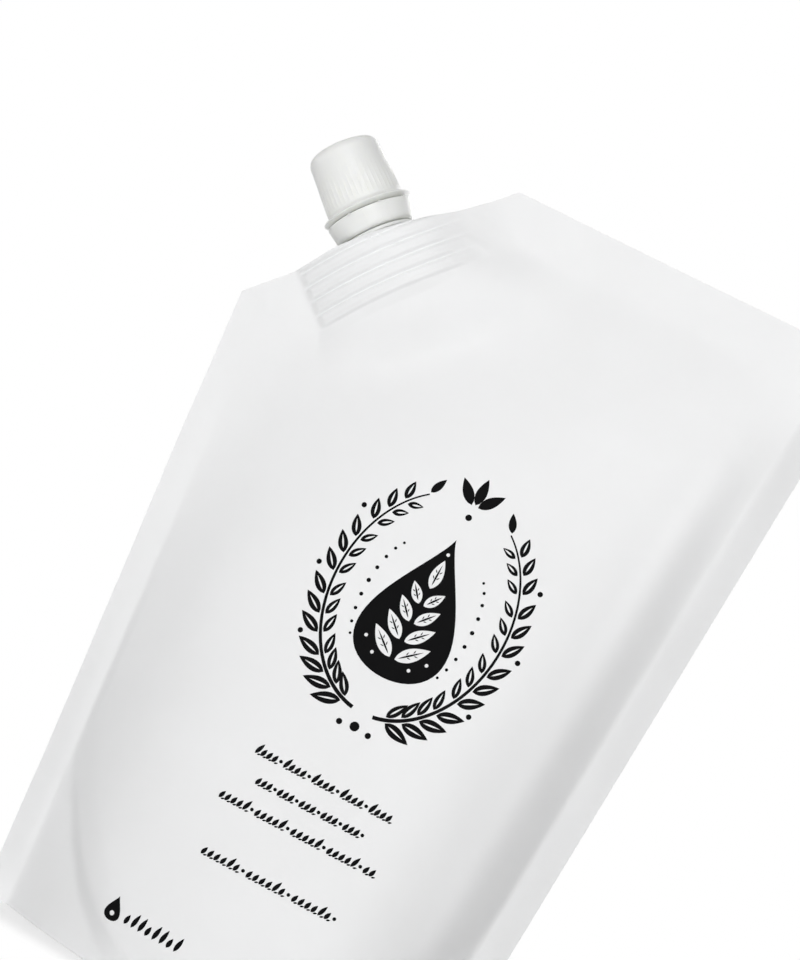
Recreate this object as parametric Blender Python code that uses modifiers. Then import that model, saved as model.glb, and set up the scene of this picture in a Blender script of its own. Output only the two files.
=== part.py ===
"""Stand-up refill pouch for hand lotion, with a screw-capped spout sealed into its cut corner.

Metres, +Z up. The pouch stands on its gusset with its front towards -Y. The origin is the middle of the
flat that the filled gusset presses on the table. Lengths along the spout are counted from the cut edge,
positive out of the pouch.
"""

import math

import bmesh
import bpy
from mathutils import Matrix, Vector

# Outline of the pouch
POUCH_HEIGHT = 0.199
TOP_WIDTH = 0.140
BASE_WIDTH = 0.111
BASE_DEPTH = 0.060
FILM = 0.0003
SIDE_SEAL = 0.0062
TOP_SEAL = 0.010
FOOT_RADIUS = 0.004
CUT_ACROSS = 0.0508
CUT_DOWN = 0.049

# Swell of the filled panels
SIDE_FULLNESS = 3.0
WEDGE = 1.35
CORNER_EASE = 0.055
SWELL_BLEND = 4
TENT_RUN = 0.030
TENT_SPREAD = 0.4

# Gusset under the pouch
GUSSET_RISE = 0.039
GUSSET_SEAL = 0.005
GUSSET_CURVE = 2.9
GUSSET_SLACK = 0.6
GUSSET_ROUND = 4.0
GUSSET_FLAT = 0.0006
SKIRT = 0.0006
SEAL_LINE = 0.00025
SEAL_LINE_WIDTH = 0.0016
SEAL_LINE_REACH = 0.995

# Spout
SPOUT_LEAN = math.radians(4.0)
BORE = 0.010
NECK_WALL = 0.0015
RIM_ROUND = 0.0005
THREAD_ROOM = 0.0007
BOAT_LENGTH = 0.039
BOAT_DEPTH = 0.014
BOAT_WALL = 0.0013
BOAT_TIP = 0.0006
WELD_RIBS = 4
WELD_RIB = 0.0006
WELD_RIB_SHARE = 0.5
WELD_FILM = 0.0005
WELD_RELIEF = 0.0003
WELD_MARGIN = 0.004
WELD_TIP = 0.00018
COLLAR = 0.0172
COLLAR_THICKNESS = 0.0008
BEAD = 0.0008
BEAD_LENGTH = 0.0012

# Tamper ring
RING_FOOT = 0.0186
RING_TOP = 0.0204
RING_HEIGHT = 0.0043
RING_ROUND = 0.0010
RING_WALL = 0.0011
RING_HOOK = 0.0014
BRIDGES = 8
BRIDGE_WIDTH = 0.0007
BRIDGE_THICKNESS = 0.0006
BRIDGE_HEIGHT = 0.0005

# Cap
CAP_FOOT = 0.0181
CAP_TOP = 0.0170
CAP_HEIGHT = 0.0176
CAP_SHOULDER = 0.0024
CAP_SHOULDER_TURN = 80
CAP_DOME = 0.0006
CAP_LIP = 0.0213
CAP_LIP_RISE = 0.0026
CAP_LIP_UNDERSIDE = 0.3
CAP_LIP_EDGE = 0.0004
CAP_FLARE_OUT = 0.28
CAP_FLARE_UP = 0.62
CAP_ROOF = 0.0011
CAP_HOLLOW = 0.0016
CAP_RIBS = 48
CAP_RIB = 0.00022
CAP_RIB_WIDTH = 0.0005

# Clearance between pieces that touch
GAP = 0.0003

# Fineness of the meshes
PANEL_COLUMNS = 26
PANEL_ROWS = 34
ROW_GRADING = 1.15
CORNER_ROWS = (0.1, 0.3, 0.6)
SEAL_LINE_COLUMNS = 26
GUSSET_COLUMNS = 22
GUSSET_STEPS = 12
LENS_STEPS = 12
TURN_STEPS = 48
ARC_STEPS = 6
OVERCUT = 0.002


def collection(name, hidden=False):
    made = bpy.data.collections.new(name)
    made.hide_render = hidden
    bpy.context.scene.collection.children.link(made)
    return made


def clear_scene():
    for obj in list(bpy.data.objects):
        bpy.data.objects.remove(obj, do_unlink=True)


def material(name, colour, roughness):
    made = bpy.data.materials.new(name)
    made.use_nodes = True
    shader = made.node_tree.nodes["Principled BSDF"]
    shader.inputs["Base Color"].default_value = (*colour, 1.0)
    shader.inputs["Roughness"].default_value = roughness
    shader.inputs["Metallic"].default_value = 0.0
    made.diffuse_color = (*colour, 1.0)
    return made


def add_object(name, bm, home, finish=None, parent=None):
    """Turns a bmesh into an object with its faces pointing out."""
    bmesh.ops.recalc_face_normals(bm, faces=bm.faces)
    mesh = bpy.data.meshes.new(name)
    bm.to_mesh(mesh)
    bm.free()
    mesh.shade_smooth()
    mesh.set_sharp_from_angle(angle=math.radians(32))
    if finish:
        mesh.materials.append(finish)
    obj = bpy.data.objects.new(name, mesh)
    obj.parent = parent
    home.objects.link(obj)
    return obj


def hide(obj):
    obj.hide_render = True
    obj.display_type = "WIRE"
    return obj


def boolean(obj, other, operation):
    change = obj.modifiers.new(other.name, "BOOLEAN")
    change.operation = operation
    change.solver = "EXACT"
    change.object = hide(other)


def loft(rings):
    """A closed skin over rings that hold the same number of points, with flat ends."""
    bm = bmesh.new()
    rows = [[bm.verts.new(point) for point in ring] for ring in rings]
    for low, high in zip(rows, rows[1:]):
        for i, corner in enumerate(low):
            after = (i + 1) % len(low)
            bm.faces.new((corner, low[after], high[after], high[i]))
    bm.faces.new(rows[0][::-1])
    bm.faces.new(rows[-1])
    return bm


def turned(name, profile, home, finish=None, parent=None):
    """A turned piece: the profile (radius, height) runs down its outer side and back up its inner one."""
    bm = bmesh.new()
    points = [bm.verts.new((radius, 0, height)) for radius, height in profile]
    on_axis = profile[0][0] == 0 and profile[-1][0] == 0
    ends = list(zip(points, points[1:]))
    if not on_axis:
        ends.append((points[-1], points[0]))
    for start, end in ends:
        bm.edges.new((start, end))
    mesh = bpy.data.meshes.new(name)
    bm.to_mesh(mesh)
    bm.free()
    if finish:
        mesh.materials.append(finish)
    obj = bpy.data.objects.new(name, mesh)
    obj.parent = parent
    home.objects.link(obj)
    screw = obj.modifiers.new("turn", "SCREW")
    screw.axis = "Z"
    screw.steps = TURN_STEPS
    screw.render_steps = TURN_STEPS
    screw.use_merge_vertices = True
    screw.merge_threshold = 0.00001
    screw.use_smooth_shade = True
    return obj


def arc(centre, radius, start, end):
    """Points on a rounded corner of a profile, between two angles in degrees."""
    turns = [start + (end - start) * i / ARC_STEPS for i in range(ARC_STEPS + 1)]
    return [
        (
            centre[0] + radius * math.cos(math.radians(turn)),
            centre[1] + radius * math.sin(math.radians(turn)),
        )
        for turn in turns
    ]


def eased(share):
    """0 to 1 with a level start and end."""
    share = min(max(share, 0.0), 1.0)
    return share * share * (3 - 2 * share)


# The cut corner: its ends, its middle, and the spout's directions along and out of it


def half_width(z):
    return 0.5 * (BASE_WIDTH + (TOP_WIDTH - BASE_WIDTH) * z / POUCH_HEIGHT)


def cut_frame():
    """The middle of the cut edge, and the angle at which the edge climbs from the side to the top."""
    low_z = POUCH_HEIGHT - CUT_DOWN
    low = Vector((-half_width(low_z), 0, low_z))
    high = Vector((-half_width(POUCH_HEIGHT) + CUT_ACROSS, 0, POUCH_HEIGHT))
    run = high - low
    return (low + high) / 2, math.atan2(run.z, run.x), run.length


CUT_MIDDLE, CUT_ANGLE, CUT_LENGTH = cut_frame()
SPOUT_ANGLE = CUT_ANGLE + SPOUT_LEAN
CUT_FRAME = Matrix.Translation(CUT_MIDDLE) @ Matrix.Rotation(-CUT_ANGLE, 4, "Y")
SPOUT_FRAME = Matrix.Translation(CUT_MIDDLE) @ Matrix.Rotation(-SPOUT_ANGLE, 4, "Y")
TO_CUT = CUT_FRAME.inverted()
TO_SPOUT = SPOUT_FRAME.inverted()

# Places along the spout's axis, all from the middle of the cut edge
COLLAR_BASE = GAP + COLLAR / 2 * math.sin(SPOUT_LEAN)
COLLAR_END = COLLAR_BASE + COLLAR_THICKNESS
RING_BASE = COLLAR_END + GAP
RING_END = RING_BASE + RING_HEIGHT
CAP_BASE = RING_END + BRIDGE_HEIGHT + GAP
CAP_END = CAP_BASE + CAP_HEIGHT
ROOF = CAP_END - CAP_ROOF
LAND = ROOF - CAP_HOLLOW
NECK_RISE = LAND - GAP
NECK_RADIUS = BORE / 2 + NECK_WALL
BOAT_HALF = BORE / 2 + BOAT_WALL
THREAD_RADIUS = NECK_RADIUS + THREAD_ROOM


# Pouch


def lens(share):
    """How a welded boat's thickness runs from its middle (1) to its tips (0)."""
    return max(0.0, 1 - share * share)


def fairing(x, z):
    """Half depth of the film where it runs off the boat and down into the pouch."""
    place = TO_SPOUT @ Vector((x, 0, z))
    past_boat = -place.z - BOAT_DEPTH
    spread = BOAT_LENGTH / 2 + WELD_MARGIN + TENT_SPREAD * max(past_boat, 0)
    fall = 1 - eased(past_boat / TENT_RUN)
    return (BOAT_HALF + WELD_RIB) * lens(place.x / spread) * fall


def swell(x, z):
    """Half depth of the filled pouch, which is nil on its seals."""
    inner = half_width(z) - SIDE_SEAL
    across = 1 - min(abs(x) / inner, 1.0) ** SIDE_FULLNESS
    up = 1 - min(max(z, 0.0) / (POUCH_HEIGHT - TOP_SEAL), 1.0) ** WEDGE
    inside = -(TO_CUT @ Vector((x, 0, z))).z - BOAT_DEPTH
    beside_cut = 1 - (1 - min(max(inside / CORNER_EASE, 0.0), 1.0)) ** 2
    return BASE_DEPTH / 2 * across * up * beside_cut


def half_depth(x, z):
    filled = swell(x, z)
    tented = fairing(x, z)
    return FILM + (filled**SWELL_BLEND + tented**SWELL_BLEND) ** (1 / SWELL_BLEND)


def outer_edge(z):
    """Half width over the side seals, whose lower corners are rounded."""
    short = max(FOOT_RADIUS - z, 0.0)
    return half_width(z) - FOOT_RADIUS + math.sqrt(FOOT_RADIUS**2 - short**2)


def panel_columns():
    """Shares of the inner width at which the panel has its columns, closer near the seals."""
    half = PANEL_COLUMNS // 2
    return [math.sin(math.pi / 2 * i / half) for i in range(-half, half + 1)]


def panel_rows():
    """Heights of the pouch's rows, closer at the foot, with one on the top seal's lower edge."""
    filled = POUCH_HEIGHT - TOP_SEAL
    rows = [filled * (i / PANEL_ROWS) ** ROW_GRADING for i in range(PANEL_ROWS + 1)]
    corner = [FOOT_RADIUS * share for share in CORNER_ROWS]
    return sorted(set(rows + corner + [POUCH_HEIGHT]))


def pouch_body(home, finish):
    """The filled pouch: rings round the front and back panels, one for each height."""
    rings = []
    for z in panel_rows():
        inner = half_width(z) - SIDE_SEAL
        across = [share * inner for share in panel_columns()]
        across = [-outer_edge(z)] + across + [outer_edge(z)]
        front = [(x, -half_depth(x, z), z) for x in across]
        back = [(x, half_depth(x, z), z) for x in reversed(across)]
        rings.append(front + back)
    return add_object("pouch", loft(rings), home, finish)


def lens_ring(half_length, half_thickness, tip, height):
    """A boat-shaped ring in the spout's own directions."""
    turns = [math.pi / 2 * i / LENS_STEPS for i in range(-LENS_STEPS, LENS_STEPS + 1)]
    across = [half_length * math.sin(turn) for turn in turns]
    sides = [(x, tip + (half_thickness - tip) * lens(x / half_length)) for x in across]
    front = [Vector((x, -y, height)) for x, y in sides]
    back = [Vector((x, y, height)) for x, y in reversed(sides)]
    return front + back


def weld_levels():
    """Height and rib share of each ring down the weld zone, which show its ribs through the film."""
    pitch = BOAT_DEPTH / WELD_RIBS
    flank = pitch * (1 - WELD_RIB_SHARE) / 4
    levels = []
    for i in range(WELD_RIBS):
        foot = -i * pitch - flank
        crest = foot - flank
        crest_end = crest - pitch * WELD_RIB_SHARE
        levels += [(foot, 0.0), (crest, 1.0), (crest_end, 1.0), (crest_end - flank, 0.0)]
    return levels


def weld_zone(home, parent):
    """The film over the boat, with the weld ribs pressed through it."""
    half_length = BOAT_LENGTH / 2 + WELD_MARGIN
    base = BOAT_HALF + WELD_RIB + GAP + WELD_FILM
    levels = [(OVERCUT, 0.0)] + weld_levels() + [(-BOAT_DEPTH - GAP - WELD_FILM, 0.0)]
    rings = [
        lens_ring(half_length, base + WELD_RELIEF * rib, WELD_TIP, height)
        for height, rib in levels
    ]
    return add_object("weld_zone", loft(rings), home, parent=parent)


def boat_pocket(home, parent):
    """The room that the boat takes up between the two films."""
    half_length = BOAT_LENGTH / 2 + GAP
    half_thickness = BOAT_HALF + WELD_RIB + GAP
    rings = [
        lens_ring(half_length, half_thickness, BOAT_TIP / 2 + GAP, height)
        for height in (OVERCUT * 2, -BOAT_DEPTH - GAP)
    ]
    return add_object("boat_pocket", loft(rings), home, parent=parent)


def corner_cutter(home):
    """Takes off the corner above the cut edge."""
    bm = bmesh.new()
    size = Vector((CUT_LENGTH * 2, BASE_DEPTH, CUT_ACROSS + CUT_DOWN))
    bmesh.ops.create_cube(bm, size=1.0)
    bmesh.ops.scale(bm, vec=size, verts=bm.verts)
    bmesh.ops.translate(bm, vec=(0, 0, size.z / 2), verts=bm.verts)
    bm.transform(CUT_FRAME)
    return add_object("corner_cutter", bm, home)


def gusset_seal(share):
    """Height of the gusset's arched seal, low in the middle and high at the sides."""
    return GUSSET_SEAL + (GUSSET_RISE - GUSSET_SEAL) * abs(share) ** GUSSET_CURVE


def skirt_inside(share, z):
    """A point on the inner face of the front skirt, at a share of the inner width."""
    x = share * (half_width(max(z, 0)) - SIDE_SEAL)
    return x, half_depth(x, z) - SKIRT


def gusset_ring(share):
    """Outline of the room under the gusset at one column: up the front skirt, over, and down the back."""
    top = gusset_seal(share)
    heights = [-OVERCUT, 0.0, top / 3, top * 2 / 3]
    walls = [(*skirt_inside(share, z), z) for z in heights]
    x, reach = skirt_inside(share, top)
    sag = min(top + GUSSET_FLAT, GUSSET_SLACK * reach)
    roof = []
    for i in range(GUSSET_STEPS + 1):
        y = -reach * math.cos(math.pi * i / GUSSET_STEPS)
        roof.append(Vector((x, y, top - sag * (1 - abs(y / reach) ** GUSSET_ROUND))))
    front = [Vector((side, -depth, z)) for side, depth, z in walls]
    back = [Vector((side, depth, z)) for side, depth, z in reversed(walls)]
    return front + roof + back


def gusset_room(home):
    """The room between the skirt's two halves, under the arched gusset."""
    last = (1 - (SKIRT + GAP) * 2 / BASE_DEPTH) ** (1 / SIDE_FULLNESS)
    half = GUSSET_COLUMNS // 2
    shares = [last * math.sin(math.pi / 2 * i / half) for i in range(-half, half + 1)]
    return add_object("gusset_room", loft([gusset_ring(share) for share in shares]), home)


def seal_line(name, home, side):
    """The welded line that the gusset's seal presses into one panel, a low ridge along the arch."""
    half = SEAL_LINE_COLUMNS // 2
    rings = []
    for i in range(-half, half + 1):
        share = SEAL_LINE_REACH * math.sin(math.pi / 2 * i / half)
        middle = gusset_seal(share)
        ring = []
        for rise, proud in ((-1, -1), (-0.5, 1), (0.5, 1), (1, -1)):
            z = middle + rise * SEAL_LINE_WIDTH / 2
            x = share * (half_width(z) - SIDE_SEAL)
            ring.append(Vector((x, side * (half_depth(x, z) + proud * SEAL_LINE), z)))
        rings.append(ring)
    return add_object(name, loft(rings), home)


def build_pouch(home, cutters, axis, finish):
    pouch = pouch_body(home, finish)
    boolean(pouch, seal_line("seal_line_front", cutters, -1), "UNION")
    boolean(pouch, seal_line("seal_line_back", cutters, 1), "UNION")
    boolean(pouch, weld_zone(cutters, axis), "UNION")
    boolean(pouch, corner_cutter(cutters), "DIFFERENCE")
    boolean(pouch, boat_pocket(cutters, axis), "DIFFERENCE")
    boolean(pouch, gusset_room(cutters), "DIFFERENCE")
    return pouch


# Spout


def boat(cutters, parent):
    """The welded end of the spout: a ribbed lens that the two films close round."""
    levels = [(0.0, 0.0)] + weld_levels() + [(-BOAT_DEPTH, 0.0)]
    rings = [
        lens_ring(BOAT_LENGTH / 2, BOAT_HALF + WELD_RIB * rib, BOAT_TIP / 2, height)
        for height, rib in levels
    ]
    return add_object("boat", loft(rings), cutters, parent=parent)


def neck_profile():
    """From the rim down the neck's outer side, over the bead and the collar, and into the boat."""
    collar = COLLAR / 2
    hook_end = RING_BASE + GAP + RING_HOOK
    bead_base = hook_end + GAP
    bead_radius = NECK_RADIUS + BEAD
    rim = arc((NECK_RADIUS - RIM_ROUND, NECK_RISE - RIM_ROUND), RIM_ROUND, 90, 0)
    bead = [
        (NECK_RADIUS, bead_base + BEAD_LENGTH + BEAD),
        (bead_radius, bead_base + BEAD_LENGTH),
        (bead_radius, bead_base),
        (NECK_RADIUS, bead_base),
    ]
    foot = [
        (NECK_RADIUS, COLLAR_END),
        (collar, COLLAR_END),
        (collar, COLLAR_BASE),
        (BOAT_HALF - FILM, COLLAR_BASE),
        (BOAT_HALF - FILM, -BOAT_DEPTH / 2),
        (0, -BOAT_DEPTH / 2),
    ]
    return [(0, NECK_RISE)] + rim + bead + foot


def build_spout(home, cutters, axis, finish):
    spout = turned("spout", neck_profile(), home, finish, axis)
    boolean(spout, boat(cutters, axis), "UNION")
    reach = OVERCUT * 2
    bore = [(0, NECK_RISE + reach), (BORE / 2, NECK_RISE + reach)]
    bore += [(BORE / 2, -BOAT_DEPTH - reach), (0, -BOAT_DEPTH - reach)]
    boolean(spout, turned("bore", bore, cutters, parent=axis), "DIFFERENCE")
    return spout


# Tamper ring


def ring_profile():
    """Outer side with its rounded foot, then back up inside over the hook that holds it on the neck."""
    foot, top = RING_FOOT / 2, RING_TOP / 2
    hook = NECK_RADIUS + GAP
    hook_base = RING_BASE + GAP
    shoulder = RING_BASE + RING_ROUND
    outer = foot + (top - foot) * RING_ROUND / RING_HEIGHT
    corner = arc((outer - RING_ROUND, shoulder), RING_ROUND, 0, -90)
    inner = [
        (hook, RING_BASE),
        (hook, hook_base + RING_HOOK),
        (foot - RING_WALL, hook_base + RING_HOOK),
        (top - RING_WALL, RING_END),
    ]
    return [(top, RING_END)] + corner + inner


def build_ring(home, cutters, axis, finish):
    ring = turned("tamper_ring", ring_profile(), home, finish, axis)
    radius = (RING_TOP - RING_WALL) / 2
    sink = RING_WALL / 2
    for i in range(BRIDGES):
        bm = bmesh.new()
        bmesh.ops.create_cube(bm, size=1.0)
        size = (BRIDGE_THICKNESS, BRIDGE_WIDTH, BRIDGE_HEIGHT + sink)
        bmesh.ops.scale(bm, vec=size, verts=bm.verts)
        middle = RING_END + (BRIDGE_HEIGHT - sink) / 2
        bmesh.ops.translate(bm, vec=(radius, 0, middle), verts=bm.verts)
        turn = Matrix.Rotation(2 * math.pi * (i + 0.5) / BRIDGES, 3, "Z")
        bmesh.ops.rotate(bm, cent=(0, 0, 0), matrix=turn, verts=bm.verts)
        boolean(ring, add_object(f"bridge_{i + 1}", bm, cutters, parent=axis), "UNION")
    return ring


# Cap


def cap_profile():
    """Domed top, rounded shoulder, tapering side and the flared lip."""
    top, foot, lip = CAP_TOP / 2, CAP_FOOT / 2, CAP_LIP / 2
    shoulder_z = CAP_END - CAP_DOME - CAP_SHOULDER
    shoulder = arc((top - CAP_SHOULDER, shoulder_z), CAP_SHOULDER, CAP_SHOULDER_TURN, 0)
    side = [(foot, CAP_BASE + CAP_LIP_RISE)]
    edge = CAP_BASE + CAP_LIP_RISE * CAP_LIP_UNDERSIDE
    flare = [
        (foot + (lip - foot) * CAP_FLARE_OUT, CAP_BASE + CAP_LIP_RISE * CAP_FLARE_UP),
        (lip, edge + CAP_LIP_EDGE),
        (lip, edge),
        (foot, CAP_BASE),
    ]
    return [(0, CAP_END)] + shoulder + side + flare + [(0, CAP_BASE)]


def cap_hollow(cutters, axis):
    """The room inside the cap: over the mouth, past the land that seals the rim, and round the thread."""
    above = BORE / 2
    bore = THREAD_RADIUS + GAP
    mouth = NECK_RADIUS + BEAD + THREAD_ROOM
    lead = CAP_BASE + CAP_LIP_RISE
    profile = [(0, ROOF), (above, ROOF), (above, LAND), (bore, LAND), (bore, lead)]
    profile += [(mouth, CAP_BASE), (mouth, CAP_BASE - OVERCUT), (0, CAP_BASE - OVERCUT)]
    return turned("cap_hollow", profile, cutters, parent=axis)


def cap_ribs(cap, cutters, axis):
    """Fine grip ribs that follow the side's taper."""
    low_z = CAP_BASE + CAP_LIP_RISE
    high_z = CAP_END - CAP_DOME - CAP_SHOULDER
    low, high = CAP_FOOT / 2, CAP_TOP / 2
    sunk = CAP_RIB * 2
    half = CAP_RIB_WIDTH / 2
    bm = bmesh.new()
    for i in range(CAP_RIBS):
        turn = Matrix.Rotation(2 * math.pi * i / CAP_RIBS, 3, "Z")
        foot = [(low - sunk, -half), (low + CAP_RIB, 0), (low - sunk, half)]
        head = [(high - sunk, -half), (high, 0), (high - sunk, half)]
        lower = [bm.verts.new(turn @ Vector((x, y, low_z))) for x, y in foot]
        upper = [bm.verts.new(turn @ Vector((x, y, high_z))) for x, y in head]
        for j in range(3):
            k = (j + 1) % 3
            bm.faces.new((lower[j], lower[k], upper[k], upper[j]))
        bm.faces.new(lower[::-1])
        bm.faces.new(upper)
    boolean(cap, add_object("cap_ribs", bm, cutters, parent=axis), "UNION")


def build_cap(home, cutters, axis, finish):
    cap = turned("cap", cap_profile(), home, finish, axis)
    cap_ribs(cap, cutters, axis)
    boolean(cap, cap_hollow(cutters, axis), "DIFFERENCE")
    return cap


def build():
    clear_scene()
    parts = collection("hand_lotion_refill")
    cutters = collection("cutters", hidden=True)
    film = material("white_film", (0.86, 0.86, 0.86), 0.5)
    plastic = material("natural_polyethylene", (0.76, 0.78, 0.74), 0.42)
    axis = bpy.data.objects.new("spout_axis", None)
    axis.matrix_world = SPOUT_FRAME
    parts.objects.link(axis)
    build_pouch(parts, cutters, axis, film)
    build_spout(parts, cutters, axis, plastic)
    build_ring(parts, cutters, axis, plastic)
    build_cap(parts, cutters, axis, plastic)


build()
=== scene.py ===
"""Dressed model of a hand lotion refill: a white film pouch that stands on its gusset, with a screw-capped
spout sealed into its cut corner and generic black print on its front.

Everything is in metres in the frame of the solids: +Z up, the front panel towards -Y, and the origin in the
middle of the flat that the pouch stands on. Lengths along the spout count from the cut edge, outwards. The
print alone is drawn in millimetres.
"""

import logging
import math
from collections.abc import Callable, Sequence
from dataclasses import dataclass, field, replace
from enum import Enum
from functools import partial

import bmesh
import bpy
import numpy as np
from mathutils import Matrix, Vector


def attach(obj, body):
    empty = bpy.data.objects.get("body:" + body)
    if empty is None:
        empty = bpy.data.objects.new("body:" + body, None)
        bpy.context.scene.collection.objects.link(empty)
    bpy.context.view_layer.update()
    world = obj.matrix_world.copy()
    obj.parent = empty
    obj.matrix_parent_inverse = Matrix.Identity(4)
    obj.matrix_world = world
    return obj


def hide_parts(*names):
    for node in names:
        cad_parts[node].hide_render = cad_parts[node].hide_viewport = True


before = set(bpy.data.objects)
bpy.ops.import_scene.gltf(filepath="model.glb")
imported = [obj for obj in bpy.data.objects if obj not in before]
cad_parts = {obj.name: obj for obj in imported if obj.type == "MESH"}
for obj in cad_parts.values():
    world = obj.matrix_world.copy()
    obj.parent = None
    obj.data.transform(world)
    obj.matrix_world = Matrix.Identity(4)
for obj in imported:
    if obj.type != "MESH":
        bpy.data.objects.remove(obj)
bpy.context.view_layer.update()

LOG = logging.getLogger("hand_lotion_refill")
MM = 0.001
ON_AXIS = 1e-6

Array = np.ndarray
Point = tuple[float, float]
Triple = tuple[float, float, float]
Outline = list[Point]
Profile = list[Point]
Socket = bpy.types.NodeSocket


class Side(Enum):
    """The two panels of the pouch, by the sign of their Y."""

    FRONT = -1
    BACK = 1


class Resin(Enum):
    """The moulded pieces, each a little different in tone from its own mould."""

    CAP = "cap"
    RING = "ring"
    SPOUT = "spout"


def eased(share: Array | float) -> Array:
    """Runs from 0 to 1 with a level start and end.

    Args:
        share: How far along, in any range; it is held between 0 and 1.

    Returns:
        The eased share.
    """
    held = np.clip(share, 0.0, 1.0)
    return held * held * (3.0 - 2.0 * held)


def hump(offset: Array, width: float) -> Array:
    """A round hump that is 1 at its middle and falls to nil over about twice its width.

    Args:
        offset: Distance from the middle of the hump.
        width: How far out the hump has fallen to about a third.

    Returns:
        Height of the hump, from 0 to 1.
    """
    return np.exp(-((offset / width) ** 2))


def add_mesh(name: str, bm: bmesh.types.BMesh, sharp_deg: float) -> bpy.types.Object:
    """Makes an object from a bmesh, with its faces turned out and shaded smooth.

    Args:
        name: Name of the object.
        bm: The mesh, which is freed.
        sharp_deg: Edges that turn by more than this stay sharp.

    Returns:
        The object, linked to the scene.
    """
    bmesh.ops.recalc_face_normals(bm, faces=bm.faces)
    if bm.calc_volume(signed=True) < 0:
        bmesh.ops.reverse_faces(bm, faces=bm.faces)
    mesh = bpy.data.meshes.new(name)
    bm.to_mesh(mesh)
    bm.free()
    mesh.shade_smooth()
    mesh.set_sharp_from_angle(angle=math.radians(sharp_deg))
    obj = bpy.data.objects.new(name, mesh)
    bpy.context.scene.collection.objects.link(obj)
    return obj


def loft(rings: Sequence[Sequence[Vector]]) -> bmesh.types.BMesh:
    """A closed skin over rings with the same number of points, with a flat face at each end.

    Args:
        rings: The rings, in order.

    Returns:
        The closed skin.
    """
    bm = bmesh.new()
    rows = [[bm.verts.new(point) for point in ring] for ring in rings]
    for low, high in zip(rows, rows[1:]):
        for i, corner in enumerate(low):
            after = (i + 1) % len(low)
            bm.faces.new((corner, low[after], high[after], high[i]))
    bm.faces.new(rows[0][::-1])
    bm.faces.new(rows[-1])
    return bm


def close_sheet(bm: bmesh.types.BMesh, x: Array, z: Array, own_y: Array, far_y: Array) -> None:
    """Makes a flat sheet into a closed body: the sheet, a second one like it, and a wall round their rims.

    Args:
        bm: The sheet.
        x: Place across the pouch that each of its vertices goes to.
        z: Height that each goes to.
        own_y: Depth that each goes to.
        far_y: Depth of the same vertices in the second sheet.
    """
    verts, faces = list(bm.verts), list(bm.faces)
    rim = [edge for edge in bm.edges if edge.is_boundary]
    twins: dict[bmesh.types.BMVert, bmesh.types.BMVert] = {}
    for vert, across, up, near, far in zip(verts, x, z, own_y, far_y):
        twins[vert] = bm.verts.new((across, far, up))
        vert.co = (across, near, up)
    for face in faces:
        bm.faces.new([twins[vert] for vert in reversed(face.verts)])
    for edge in rim:
        first, second = edge.verts
        bm.faces.new((first, second, twins[second], twins[first]))


def cut_away(obj: bpy.types.Object, cutter: bpy.types.Object) -> None:
    """Takes the cutter's room out of an object and deletes the cutter.

    Args:
        obj: The object that is cut.
        cutter: A closed mesh.
    """
    change = obj.modifiers.new(cutter.name, "BOOLEAN")
    change.operation = "DIFFERENCE"
    change.solver = "EXACT"
    change.object = cutter
    graph = bpy.context.evaluated_depsgraph_get()
    made = bpy.data.meshes.new_from_object(obj.evaluated_get(graph))
    obj.modifiers.clear()
    old = obj.data
    obj.data = made
    bpy.data.meshes.remove(old)
    bpy.data.objects.remove(cutter)


def dress(obj: bpy.types.Object, material: bpy.types.Material) -> None:
    """Gives an object one material in place of any it has.

    Args:
        obj: The object.
        material: Its material.
    """
    obj.data.materials.clear()
    obj.data.materials.append(material)
    for face in obj.data.polygons:
        face.material_index = 0


# Finishes


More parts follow.
